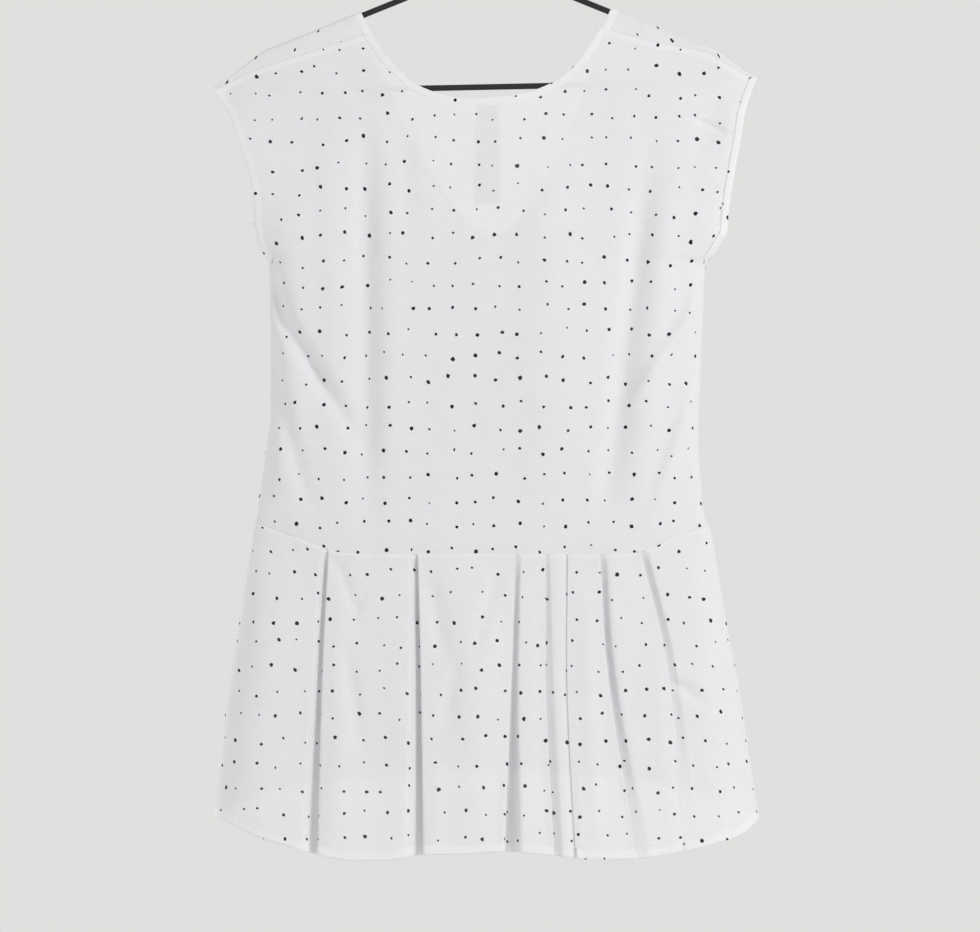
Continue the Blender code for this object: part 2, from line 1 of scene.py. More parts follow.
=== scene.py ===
"""Looks of a sleeveless top of white cotton with small black spots, hung on a black wire hanger.

The garment's back faces -Y, X runs to the viewer's right and +Z up. The origin is the inner top of the hook.
Tables hold millimetres, and a drop is a distance below the origin. Each panel is one thin sheet on the form
of its solid, with the turned hem, seam allowances, bias bindings and stitches that a maker would sew.
"""

import math

import bpy
import numpy as np
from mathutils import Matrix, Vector

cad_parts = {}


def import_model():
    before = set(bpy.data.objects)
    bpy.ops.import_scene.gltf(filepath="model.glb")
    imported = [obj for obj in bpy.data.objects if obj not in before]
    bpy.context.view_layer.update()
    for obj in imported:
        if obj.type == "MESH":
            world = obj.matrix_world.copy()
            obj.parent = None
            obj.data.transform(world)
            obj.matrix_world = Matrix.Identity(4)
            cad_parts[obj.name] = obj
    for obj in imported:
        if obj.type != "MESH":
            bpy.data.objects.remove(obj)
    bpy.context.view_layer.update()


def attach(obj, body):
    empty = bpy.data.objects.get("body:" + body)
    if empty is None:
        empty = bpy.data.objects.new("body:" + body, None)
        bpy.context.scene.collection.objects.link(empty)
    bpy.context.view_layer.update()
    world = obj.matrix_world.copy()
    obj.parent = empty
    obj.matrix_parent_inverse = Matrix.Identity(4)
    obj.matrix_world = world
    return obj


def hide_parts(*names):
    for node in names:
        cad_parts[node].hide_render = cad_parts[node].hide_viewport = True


MM = 0.001
BACK = -1
FRONT = 1

FRAME_WIDTH_PX = 980
FRAME_HEIGHT_PX = 932
MM_PER_PX = 0.95
CENTRE_X_PX = 487
TOP_DROP = 106.35
CAMERA_DISTANCE = 6.0
SENSOR_WIDTH = 36.0

SEAM_GAP = 0.3
SHEET_INSET = 0.35
LEAST_DEPTH = 0.02
HEM_WIDTH = 9.5
HEM_ROWS = 4
SHOULDER_SEAM_ROWS = 6
WAIST_SEAM_ROWS = 3
ALLOWANCE_ROWS = (0.3, 2.5, 5.0, 7.5, 9.0)
ALLOWANCE_BEHIND = 1.3
SEAM_LAP = 1.0
SEAM_LAP_DEPTH = 0.35
SEAM_DIP = 0.4
SEAM_DIP_REACH = 1.4
WAIST_DIP = 0.7
SEAM_ROLL = 0.35
SEAM_ROLL_AT = 3.4
SEAM_ROLL_REACH = 2.2
ROWS_BESIDE_SEAM = (0, 0.7, 1.5, 2.5, 3.8)
ROWS_CLEAR_OF_SEAM = 5.4

# distance up from the hem's fold, and how far behind the cloth the turned edge lies
HEM_TURN = ((0.35, 0.75), (1.4, 1.15), (3.6, 1.2), (6.0, 1.2), (8.2, 1.15), (HEM_WIDTH, 0.85))
HEM_STITCH_AT = HEM_WIDTH - 1.6

WIRE_RADIUS = 2.8
WIRE_CLEARANCE = 0.5
CLOTH_WALL = 1.0
APEX_X = 3.3
APEX_DROP = 72.0
APEX_BEND = 14.0
ARM_ANGLE = math.radians(22)
ARM_REACH = 206.0
LEFT_END_BEND = 19.6
RIGHT_END_BEND = 15.4
WIRE_SIDES = 24
WIRE_END_STEPS = 6
SHARP_ANGLE = math.radians(40)
HOOK_RADIUS = 22.0
HOOK_FOOT_ANGLE = math.radians(60)
HOOK_TIP_ANGLE = math.radians(190)
COLLAR_RADIUS = 4.6
COLLAR_HEIGHT = 16.0
COLLAR_EASE = 0.7
COLLAR_CRIMP = ((0.0, 1.6), (0.35, 0.9))
COLLAR_SIDES = 36

WRAP_RADIUS = WIRE_RADIUS + WIRE_CLEARANCE + CLOTH_WALL
WRAP_RADIUS_AT_CAP = 1.6
WRAP_TAPER = 32.0
HANGER_LEFT_END = -219.0
HANGER_RIGHT_END = 223.0
RIDGE_EASE = 55.0
BOW_POWER = 2.6
FOLD_END = 0.08
FOLD_OVERRUN = 0.12
FOLD_FADE = 0.4
ARMHOLE_END = 356.0
PUCKER_REACH = 14.0
NOISE_CELLS = (97, 89)

# slant with the drop, width and length of a wave, and its height
CRINKLES = ((0.12, 38, 120, 0.75), (-0.2, 17, 46, 0.35), (0, 7.5, 12, 0.10))

# drop, x of the left edge: armhole, side seam, peplum side
LEFT_SIDE = (
    (190, -260), (204, -251), (223, -242), (243, -235), (268, -227), (294, -222), (326, -220.5),
    (341, -217.5), (357, -208), (420, -207), (503, -207), (526, -210), (565, -215), (603, -220.5),
    (657, -229), (741, -243), (833, -255.5), (881, -260),
)

# drop, x of the right edge
RIGHT_SIDE = (
    (178.5, 256.5), (212, 245), (239, 240.5), (271, 234.5), (307, 229), (327, 227.5), (336, 223),
    (349, 215), (357, 208), (391, 206), (447, 203.5), (522, 201), (560, 203), (598, 207), (607, 211),
    (654, 220), (705, 229), (762, 240), (814, 247.5), (884, 258.5),
)

# drop, half gap at the armhole edge, half depth of the back, half depth of the front
DEPTHS = (
    (100, 4.0, 5, 5), (150, 4.0, 7, 7), (190, 3.0, 11, 10), (215, 6.5, 14, 12), (250, 11.0, 18, 16),
    (290, 12.0, 22, 19), (325, 8.0, 25, 21), (348, 3.0, 26, 22), (ARMHOLE_END, SEAM_GAP / 2, 27, 22),
    (480, SEAM_GAP / 2, 30, 26), (631, SEAM_GAP / 2, 28, 26), (700, SEAM_GAP / 2, 35, 32),
    (800, SEAM_GAP / 2, 44, 40), (925, SEAM_GAP / 2, 51, 46),
)

# x, drop of the shoulder's top edge past each end of the hanger's arms
LEFT_CAP = ((-260, 190), (-240, 175.4), (-221, 160.6), (-213, 155.2), (-205, 151))
RIGHT_CAP = ((202, 147), (210, 149.8), (216, 153), (229, 162), (242, 171.2), (256.5, 179.5))

# x, drop of the seam that joins the front's shoulder to the back, on the back's side of the hanger
LEFT_SHOULDER_SEAM = ((-260, 192.2), (-220, 172.9), (-187, 161.9), (-111, 137.7))
RIGHT_SHOULDER_SEAM = ((107.5, 132), (159.6, 146.3), (190, 152), (209, 156.5), (229, 168), (256.5, 184))

# x, drop of the back neckline
BACK_NECKLINE = (
    (-111, 137.7), (-105.5, 145.8), (-94, 162.4), (-83, 173.8), (-70.3, 185.2), (-55, 192.8), (-38, 197.9),
    (-15, 200.2), (12.4, 198.7), (31, 196.1), (49.4, 191.2), (68.4, 181.4), (83.6, 168.1), (96.9, 149.6),
    (107.5, 132),
)

# x, drop of the front neckline, a deep rounded V that the back hides
FRONT_NECKLINE = (
    (-111, 118), (-108, 148), (-98, 178), (-76, 228), (-48, 276), (-20, 316), (4, 328), (28, 317),
    (55, 276), (80, 228), (96, 178), (105, 147), (107.5, 116),
)
NECK_LEAN = 0.45
NECK_LEAN_FROM = 138.0
NECK_LEAN_REACH = 0.4

# x, drop of the waist seam
BACK_WAIST = (
    (-221, 603.5), (-185, 615), (-148, 629), (-105, 633), (105, 633), (148, 629.5), (180, 616), (211, 608),
)
FRONT_WAIST = ((-221, 603.5), (-175, 615), (-120, 626), (0, 630), (120, 626), (170, 616), (211, 608))

# x, drop of the hem
BACK_HEM = (
    (-260, 881), (-238, 890), (-217, 899.5), (-195, 906), (-160, 916), (-129, 921), (-97, 921),
    (-60, 915.5), (-21, 914.8), (15, 912.5), (59, 916), (103, 920), (128, 920), (159, 917.5), (190, 912),
    (222, 904.5), (244, 896.5), (258.5, 884),
)
FRONT_HEM = (
    (-260, 881), (-225, 866), (-180, 853), (-100, 846), (0, 840), (100, 846), (180, 855), (225, 868),
    (258.5, 884),
)

# x and drop at the top, x and drop at the bottom, half width, height out of the panel (in if negative)
BACK_FOLDS = (
    (-184, 290, -186, 600, 22, 7.0),
    (-150, 235, -146, 590, 14, 3.0),
    (-115, 225, -112, 600, 12, -8.0),
    (-96, 240, -92, 560, 14, 2.0),
    (56, 230, 60, 580, 36, 5.5),
    (152, 262, 112, 600, 12, -7.5),
    (178, 262, 142, 600, 13, 3.5),
    (-264, 293, -126, 520, 10, -10.0),
    (-236, 330, -196, 400, 12, -8.0),
    (-212, 436, -168, 590, 9, -5.0),
    (232, 345, 136, 494, 9, 6.0),
    (198, 475, 156, 600, 8, 4.5),
    (214, 190, 206, 268, 14, -2.4),
    (-150, 165, -112, 205, 14, -2.5),
    (-152, 208, -118, 226, 12, -2.0),
    (-80, 215, -74, 330, 12, -2.0),
    (-130, 152, -128, 176, 36, -2.2),
    (196, 218, 232, 238, 9, -2.6),
)
FRONT_FOLDS = (
    (-150, 240, -146, 585, 20, 5.5),
    (-108, 330, -104, 600, 16, -6.0),
    (-52, 345, -50, 590, 22, 3.5),
    (6, 350, 2, 600, 16, -5.0),
    (62, 345, 58, 570, 24, 4.0),
    (118, 300, 120, 600, 14, -6.0),
    (158, 250, 154, 590, 15, 4.5),
    (-204, 362, -140, 530, 12, -5.0),
    (204, 368, 150, 520, 12, -5.0),
)
FOLDS = {BACK: BACK_FOLDS, FRONT: FRONT_FOLDS}
BACK_PEPLUM_FOLDS = (
    (-200, 640, -228, 895, 28, 6.5),
    (-138, 655, -140, 925, 12, 2.5),
    (-143, 636, -122, 692, 6, -3.2),
    (-114, 660, -124, 694, 3.5, -1.2),
    (-136, 712, -119, 812, 7, -3.4),
    (-76, 655, -78, 930, 20, 3.5),
    (-12, 650, -6, 930, 30, 7.5),
    (13, 638, -14, 735, 6, -2.8),
    (-55, 648, -40, 730, 8, -3.2),
    (-28, 728, -40, 800, 8, -2.8),
    (40, 660, 38, 925, 10, 2.0),
    (92, 660, 104, 925, 9, 2.5),
    (158, 700, 178, 925, 12, 2.5),
    (196, 640, 222, 905, 20, 4.0),
    (176, 750, 206, 776, 9, -3.0),
)
FRONT_PEPLUM_FOLDS = (
    (-185, 650, -196, 850, 20, 4.0),
    (-88, 660, -96, 860, 14, 3.0),
    (6, 650, 0, 850, 24, 4.0),
    (86, 660, 97, 860, 13, 3.0),
    (182, 650, 200, 860, 20, 4.0),
)

# way its folded edge faces; x of the edge at the seam, a third of the way down and at the hem; width turned
# under at the seam and at the hem; depth between layers below the seam, half way down and at the hem; width
# over which the cloth under it comes forward again, at the seam, half way down and at the hem
BACK_PLEATS = (
    (-1, -150, -155, -160, 12, 10, 2.0, 3.2, 5.2, 7, 9, 17),
    (-1, -65.5, -63, -60, 12, 13, 2.2, 3.8, 5.8, 8, 11, 18),
    (1, 27.5, 24, 17, 10, 9, 1.3, 2.6, 6.5, 5, 7, 16),
    (1, 55.6, 55.5, 63.5, 8, 6, 0.9, 1.6, 2.2, 4, 8, 9),
    (-1, 76.5, 75.5, 83.5, 8, 6, 0.6, 0.6, 0.7, 4.5, 5, 5),
    (1, 107.5, 113, 142, 11, 4, 1.8, 2.8, 1.2, 6.5, 8, 12),
    (1, 145.5, 169, 188, 10, 1, 2.0, 1.6, 0.1, 6.5, 8, 12),
)
FRONT_PLEATS = (
    (-1, -120, -124, -136, 14, 12, 1.2, 2.4, 5.0, 6, 9, 16),
    (-1, -52, -54, -60, 14, 12, 1.2, 2.4, 5.0, 6, 9, 16),
    (1, 46, 49, 56, 14, 12, 1.2, 2.0, 4.4, 6, 9, 16),
    (1, 118, 123, 137, 14, 12, 1.2, 2.0, 4.4, 6, 9, 16),
)
PITCH_AT_SEAM = 0.5
PLEAT_FLAT = 15.0
UNDER_REACH = 1.0
UNDER_FLATNESS = 1.6
UNDER_EASE = 1.2

# distance inward from the edge and height over the cloth, from the outer sewn edge round to the inner one
BINDING_SECTION = (
    (7.1, 0.02), (6.7, 0.24), (6.0, 0.38), (4.6, 0.55), (2.6, 0.62), (1.0, 0.62), (0.1, 0.52), (-0.3, 0.28),
    (-0.4, 0.0), (-0.3, -0.28), (0.1, -0.55), (1.0, -0.70), (2.6, -0.75), (4.8, -0.70), (6.2, -0.60),
    (6.6, -0.30),
)
BINDING_STITCH_AT = 5.9
BINDING_TAPER = 12.0
BINDING_TAPER_END = 0.15
BINDING_PUFF = 0.16
UNDERARM_DROP = 357.0
ARMHOLE_STATIONS = 90
STATION_STEP = 2.0
INWARD_STEP = 0.6

# left x, right x, top drop and bottom drop
NECK_LABEL = (-10.5, 11.5, 206, 224.5)
CARE_LABEL = (-12.5, 12, 225.2, 301)
LABEL_INSET = 1.5
LABEL_WALL = 0.4
LABEL_COLUMNS = 13
LABEL_ROWS = 30

SHOULDER_COLUMNS = 46
NECK_COLUMNS = 74
BACK_ROWS = 240
WRAP_ROWS = 18
FAR_WRAP_ROWS = 14
FRONT_ROWS = 220
PEPLUM_ROWS = 120
TURN_POINTS = 7
FLAT_STEP = 3.2
FAR_WRAP_DROP = 10.0

STITCH_PITCH = 3.0
STITCH_LENGTH = 2.1
STITCH_SPAN = (-0.8, 0.8)
STITCH_WIDTH = 0.42
STITCH_SIDES = 6
STITCH_LIFT = 0.42
# share of the length from the middle, share of the width and lift of each ring
STITCH_SHAPE = ((-0.5, 0.45, -0.16), (-0.3, 0.95, 0.05), (0.3, 0.95, 0.05), (0.5, 0.45, -0.16))

SPOT_SPACING = (21.3, 22.8)
SPOT_JITTER = (0.5, 0.36)
SPOT_RADIUS = (0.95, 2.0)
SPOT_ANGULARITY = 0.6
SPOT_WOBBLE = 1.7
SPOT_EDGE = 0.16
WEAVE_PITCH = 0.42

# cells in a metre of cloth of the noise that makes its threads, its clouds and the spots' wobble
THREAD_NOISE = 1100.0
CLOUD_NOISE = 34.0
WOBBLE_NOISE = 420.0

THREAD_RANGE = (0.6, 1.4)
THREAD_STRETCH = 0.06
RELIEF = 0.00018

CLOTH_COLOUR = (0.86, 0.86, 0.878)
BINDING_COLOUR = (0.87, 0.87, 0.885)
# the hem's and the seams' cloth colours are lighter than the rest: painted light for the brightness of
# doubled cloth
HEM_PAINTED_LIGHT_COLOUR = (0.892, 0.892, 0.908)
SEAM_PAINTED_LIGHT_COLOUR = (0.872, 0.872, 0.89)
SPOT_COLOUR = (0.012, 0.012, 0.014)
THREAD_COLOUR = (0.87, 0.87, 0.875)
DARK_THREAD_COLOUR = (0.80, 0.80, 0.805)
# the label's grey is painted shade, for the light the label keeps from the cloth over it
LABEL_PAINTED_SHADE_COLOUR = (0.58, 0.58, 0.59)
WIRE_COLOUR = (0.012, 0.012, 0.013)
WORN_WIRE_COLOUR = (0.02, 0.02, 0.021)
CLOTH_ALPHA = 0.93

STAGE_DROP = 1600.0
STAGE_RADIUS = 1.5
WALL_COLOUR = (0.745, 0.745, 0.730)
ROOM_COLOUR = (0.545, 0.545, 0.55)

# each lamp's place and size in metres, with its watts between them
LIGHTS = {
    "key": ((2.25, -2.05, 0.35), 42.0, 0.9),
    "fill": ((-1.6, -2.8, -0.3), 8.0, 1.8),
    "side": ((-2.6, -0.7, -0.5), 11.0, 1.4),
    "front": ((-2.2, 2.4, 0.5), 30.0, 1.0),
}
LIGHT_TARGET = (0.0, 0.0, -0.52)


def curve_through(table, column=1):
    """The smooth function from a table's first column to another one, which never overshoots its rows."""
    at = np.array([row[0] for row in table], float)
    value = np.array([row[column] for row in table], float)
    slope = np.diff(value) / np.diff(at)
    tangent = np.concatenate([slope[:1], (slope[1:] + slope[:-1]) / 2, slope[-1:]])
    steepest = 3 * np.minimum(np.abs(slope[1:]), np.abs(slope[:-1]))
    tangent[1:-1] = np.sign(tangent[1:-1]) * np.minimum(np.abs(tangent[1:-1]), steepest)
    tangent[1:-1][slope[1:] * slope[:-1] <= 0] = 0

    def read(x):
        x = np.clip(x, at[0], at[-1])
        i = np.clip(np.searchsorted(at, x, side="right") - 1, 0, len(at) - 2)
        step = at[i + 1] - at[i]
        u = (x - at[i]) / step
        start = value[i] * (1 + 2 * u) * (1 - u) ** 2 + tangent[i] * step * u * (1 - u) ** 2
        end = value[i + 1] * u**2 * (3 - 2 * u) + tangent[i + 1] * step * u**2 * (u - 1)
        return start + end

    return read


left_edge = curve_through(LEFT_SIDE)
right_edge = curve_through(RIGHT_SIDE)
edge_gap = curve_through(DEPTHS, 1)
half_depth = {BACK: curve_through(DEPTHS, 2), FRONT: curve_through(DEPTHS, 3)}
left_cap = curve_through(LEFT_CAP)
right_cap = curve_through(RIGHT_CAP)
left_shoulder_seam = curve_through(LEFT_SHOULDER_SEAM)
right_shoulder_seam = curve_through(RIGHT_SHOULDER_SEAM)
back_neckline = curve_through(BACK_NECKLINE)
front_neckline = curve_through(FRONT_NECKLINE)
waist = {BACK: curve_through(BACK_WAIST), FRONT: curve_through(FRONT_WAIST)}
hem = {BACK: curve_through(BACK_HEM), FRONT: curve_through(FRONT_HEM)}


def blend(first, second, share):
    """A value part of the way from the first to the second."""
    return first + (second - first) * share


def smooth_step(u):
    """A share from 0 to 1 that starts and ends level."""
    u = np.clip(u, 0, 1)
    return u * u * (3 - 2 * u)


def soft_noise(u, v, seed):
    """Smooth noise from -1 to 1 whose cells are one unit across."""
    wide, high = NOISE_CELLS
    lattice = np.random.default_rng(seed).uniform(-1, 1, NOISE_CELLS)
    i, j = np.floor(u).astype(int), np.floor(v).astype(int)
    s, t = smooth_step(u - i), smooth_step(v - j)
    near = blend(lattice[i % wide, j % high], lattice[(i + 1) % wide, j % high], s)
    far = blend(lattice[i % wide, (j + 1) % high], lattice[(i + 1) % wide, (j + 1) % high], s)
    return blend(near, far, t)


def crinkle(x, drop, seed):
    """Small unevenness of hung cotton: long shallow waves with finer ones on them."""
    height = 0.0
    for place, (slant, wide, long, rise) in enumerate(CRINKLES):
        height = height + rise * soft_noise((x + slant * drop) / wide, drop / long, seed + place)
    return height


def ridge(x):
    """Drop of the top of the shoulder: over the hanger's arm, then down to the cap's tip past its end."""
    over_arm = APEX_DROP + np.abs(x - APEX_X) * math.tan(ARM_ANGLE) - WRAP_RADIUS / math.cos(ARM_ANGLE)
    past_left = np.where(x < LEFT_CAP[-1][0], left_cap(x), over_arm)
    return np.where(x > RIGHT_CAP[0][0], right_cap(x), past_left)


def wrap_radius(x):
    """Radius at which the cloth turns over the shoulder: the wire's, then a sharper fold in the cap."""
    past = np.maximum(HANGER_LEFT_END - x, x - HANGER_RIGHT_END) / WRAP_TAPER
    return blend(WRAP_RADIUS, WRAP_RADIUS_AT_CAP, smooth_step(past))


def fold_height(folds, x, drop):
    """Height that the soft folds add: each is a rounded ridge or trough that fades at both ends."""
    height = np.zeros(np.broadcast(x, drop).shape)
    for top_x, top, bottom_x, bottom, half_width, rise in folds:
        along = (drop - top) / (bottom - top)
        middle = blend(top_x, bottom_x, along)
        fade_in = smooth_step((along + FOLD_OVERRUN) / FOLD_FADE)
        fade = fade_in * smooth_step((1 + FOLD_OVERRUN - along) / FOLD_FADE)
        height = height + rise * fade * np.exp(-(((x - middle) / half_width) ** 2))
    return height


def across(x, drop):
    """Where x lies between the two side edges at a drop, from -1 to 1."""
    left = left_edge(drop)
    right = right_edge(drop)
    return np.clip((2 * x - left - right) / (right - left), -1, 1)


def armhole_puckers(side, x, drop):
    """Short ripples that run in from the armholes' bound edges, stronger on the right."""
    height = np.zeros(np.broadcast(x, drop).shape)
    for edge, rise, seed in ((left_edge, 0.5, 45), (right_edge, 1.2, 52)):
        inside = np.abs(x - edge(drop))
        ripple = soft_noise(drop / 8.5 + inside / 30, inside / 40 + side, seed)
        height = height + rise * ripple * np.exp(-inside / PUCKER_REACH)
    return height * smooth_step((ARMHOLE_END - drop) / 30 + 0.4)


def depth(side, folds, x, drop):
    """Distance of the cloth's outer surface from the plane of the hanger."""
    share = np.abs(across(x, drop))
    bow = np.sqrt(np.maximum(0, 1 - share**BOW_POWER))
    gap = edge_gap(drop)
    folded = fold_height(folds, x, drop) + crinkle(x, drop, 5 if side == BACK else 31)
    folded = folded * smooth_step((1 - share) / FOLD_END) + armhole_puckers(side, x, drop)
    hanging = blend(gap, half_depth[side](drop), bow) + folded
    radius = wrap_radius(x)
    below = drop - ridge(x)
    turned = radius * np.sqrt(np.clip(1 - (1 - np.clip(below / radius, 0, 1)) ** 2, 0, 1))
    return turned + (hanging - radius) * smooth_step(below / RIDGE_EASE)


def unit(vectors):
    """The same vectors at length one."""
    return vectors / np.maximum(np.linalg.norm(vectors, axis=-1, keepdims=True), 1e-9)


def grid_normals(points, side):
    """Unit normals of a grid of points, out of the garment. Rows run down and columns to the right."""
    return unit(np.cross(np.gradient(points, axis=0), np.gradient(points, axis=1)) * -side)


def spaced(start, end, count, crowd_start=0.0, crowd_end=0.0):
    """Values from start to end, closer together at an end with more crowding."""
    u = np.linspace(0, 1, count + 1)
    share = u * (1 - crowd_start - crowd_end) + u**2 * crowd_start + (1 - (1 - u) ** 2) * crowd_end
    return blend(start, end, share)


def panel_columns():
    """x at the shoulder of each column of a bodice panel, and which columns end at the neckline."""
    neck_left = BACK_NECKLINE[0][0]
    neck_right = BACK_NECKLINE[-1][0]
    left = spaced(LEFT_CAP[0][0], neck_left, SHOULDER_COLUMNS, 0.8, 0)
    neck = spaced(neck_left, neck_right, NECK_COLUMNS, 0.2, 0.2)
    right = spaced(neck_right, RIGHT_CAP[-1][0], SHOULDER_COLUMNS, 0, 0.8)
    columns = np.concatenate([left[:-1], neck, right[1:]])
    past = np.arange(len(columns)) - SHOULDER_COLUMNS
    return columns, (past > 0) & (past < NECK_COLUMNS)


def column_x(shoulder_x, drop):
    """x at a drop of the column that starts at shoulder_x: columns close in with the side edges."""
    first = LEFT_CAP[0][0]
    last = RIGHT_CAP[-1][0]
    x = blend(left_edge(drop), right_edge(drop), (shoulder_x - first) / (last - first))
    lean = NECK_LEAN * np.maximum(0, NECK_LEAN_FROM - drop)
    for neck_x, way in ((BACK_NECKLINE[0][0], -1), (BACK_NECKLINE[-1][0], 1)):
        near = np.maximum(0, 1 - np.abs(shoulder_x - neck_x) / (NECK_LEAN_REACH * last))
        x = x + way * lean * near
    return x


def drop_where(curve, shoulder_x):
    """Drop at which a column meets a curve given as a drop for each x."""
    drop = curve(shoulder_x)
    for _ in range(6):
        drop = curve(column_x(shoulder_x, drop))
    return drop


def shoulder_seam(x):
    """Drop of the seam that joins the front's shoulder to the back."""
    return np.where(x < 0, left_shoulder_seam(x), right_shoulder_seam(x))


def lengths(points, axis):
    """Distance run along one direction of a grid of points, from its first line."""
    steps = np.linalg.norm(np.diff(points, axis=axis), axis=2)
    start = np.zeros_like(np.take(steps, [0], axis=axis))
    return np.concatenate([start, np.cumsum(steps, axis=axis)], axis=axis)


def placed(name, mesh):
    """An object with a mesh, riding on the part's one body."""
    mesh.shade_smooth()
    made = bpy.data.objects.new(name, mesh)
    bpy.context.scene.collection.objects.link(made)
    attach(made, "root")
    return made


def sheet_mesh(name, points, flat, finish, present=None, flip=False, doubled_rows_painted_lighter=()):
    """One thin sheet through a grid of points, with its flat cloth coordinates as its UV map, in metres.

    Each entry of the last argument is the rows of cells that lie over a second layer, and a lighter copy of
    the cloth's finish for them: its lighter colour is painted light for the brightness of doubled cloth.
    """
    rows, columns = points.shape[:2]
    row, column = np.nonzero(np.ones((rows - 1, columns - 1), bool) if present is None else present)
    corner = row * columns + column
    faces = np.stack([corner, corner + columns, corner + columns + 1, corner + 1], axis=1)
    used, faces = np.unique(faces[:, ::-1] if flip else faces, return_inverse=True)
    mesh = bpy.data.meshes.new(name)
    mesh.from_pydata((points.reshape(-1, 3)[used] * MM).tolist(), [], faces.reshape(-1, 4).tolist())
    layer = mesh.uv_layers.new(name="cloth")
    layer.data.foreach_set("uv", (flat.reshape(-1, 2)[used][faces.ravel()] * MM).ravel())
    mesh.materials.append(finish)
    place_of_finish = np.zeros(rows, int)
    for thick_rows, lighter_painted_finish in doubled_rows_painted_lighter:
        place_of_finish[thick_rows] = len(mesh.materials)
        mesh.materials.append(lighter_painted_finish)
    mesh.polygons.foreach_set("material_index", place_of_finish[row].tolist())
    return placed(name, mesh)


def solid_mesh(name, points, faces, finish):
    """A closed piece through points in millimetres."""
    mesh = bpy.data.meshes.new(name)
    mesh.from_pydata((points.reshape(-1, 3) * MM).tolist(), [], faces)
    mesh.materials.append(finish)
    return placed(name, mesh)


def ringed(name, rings, finish, closed=False):
    """A closed piece through rings of points, whose sharp edges stay sharp."""
    made = solid_mesh(name, rings, ring_faces(*rings.shape[:2], closed), finish)
    made.data.set_sharp_from_angle(angle=SHARP_ANGLE)
    return made


def ring_faces(rings, sides, closed=False, start=0):
    """Faces round a row of rings of vertices, with a cap on each end unless the row closes on itself."""
    faces = []
    for i in range(rings if closed else rings - 1):
        near = start + i * sides
        far = start + (i + 1) % rings * sides
        for k in range(sides):
            after = (k + 1) % sides
            faces.append((near + k, near + after, far + after, far + k))
    if not closed:
        last = start + (rings - 1) * sides
        faces.append(tuple(range(start + sides - 1, start - 1, -1)))
        faces.append(tuple(range(last, last + sides)))
    return faces


def new_material(name, **values):
    """A new material, with its node tree and its shader, which takes the given plain values."""
    made = bpy.data.materials.new(name)
    made.use_nodes = True
    shader = made.node_tree.nodes["Principled BSDF"]
    for socket, value in values.items():
        shader.inputs[socket.replace("_", " ")].default_value = value
    return made, made.node_tree, shader


def join(tree, value, socket):
    """Links an output to a socket, or sets a plain value on it."""
    if isinstance(value, bpy.types.NodeSocket):
        tree.links.new(value, socket)
    else:
        socket.default_value = value


def added(tree, kind, inputs=None, **settings):
    """The outputs of a new shader node, whose inputs are given by their names or places."""
    node = tree.nodes.new("ShaderNode" + kind)
    for setting, value in settings.items():
        setattr(node, setting, value)
    for socket, value in (inputs or {}).items():
        join(tree, value, node.inputs[socket])
    return node.outputs


def number(tree, operation, *values):
    """The outcome of a math node."""
    return added(tree, "Math", dict(enumerate(values)), operation=operation)["Value"]


def vector(tree, operation, *values):
    """The outcome of a vector math node: a vector, or a number for a length or a dot product."""
    outputs = added(tree, "VectorMath", dict(enumerate(values)), operation=operation)
    return outputs["Value" if operation in ("LENGTH", "DOT_PRODUCT") else "Vector"]


def mapped(tree, value, low, high, to_low, to_high, kind="LINEAR"):
    """A value moved from one range to another, and kept inside it."""
    values = dict(enumerate((value, low, high, to_low, to_high)))
    return added(tree, "MapRange", values, interpolation_type=kind)["Result"]


def mixed(tree, factor, first, second, way="MIX"):
    """Two colours mixed, or multiplied where way says so."""
    values = {"Factor": factor, "A": first, "B": second}
    return added(tree, "Mix", values, data_type="RGBA", blend_type=way)["Result"]


def turned(tree, place, angle):
    """A vector turned about Z."""
    return added(tree, "VectorRotate", {"Vector": place, "Angle": angle}, rotation_type="Z_AXIS")["Vector"]


def chance(tree, cell):
    """A random value and a random colour for a cell of a flat grid."""
    outputs = added(tree, "TexWhiteNoise", {"Vector": cell}, noise_dimensions="2D")
    return outputs["Value"], outputs["Color"]


def bumped(tree, shader, height, strength, distance):
    """Gives a shader fine relief."""
    values = {"Strength": strength, "Distance": distance, "Height": height}
    join(tree, added(tree, "Bump", values)["Normal"], shader.inputs["Normal"])


def noise(tree, place, scale, detail=2.0):
    """Smooth noise as a value and as a colour."""
    outputs = added(tree, "TexNoise", {"Vector": place, "Scale": scale, "Detail": detail})
    return outputs["Fac"], outputs["Color"]


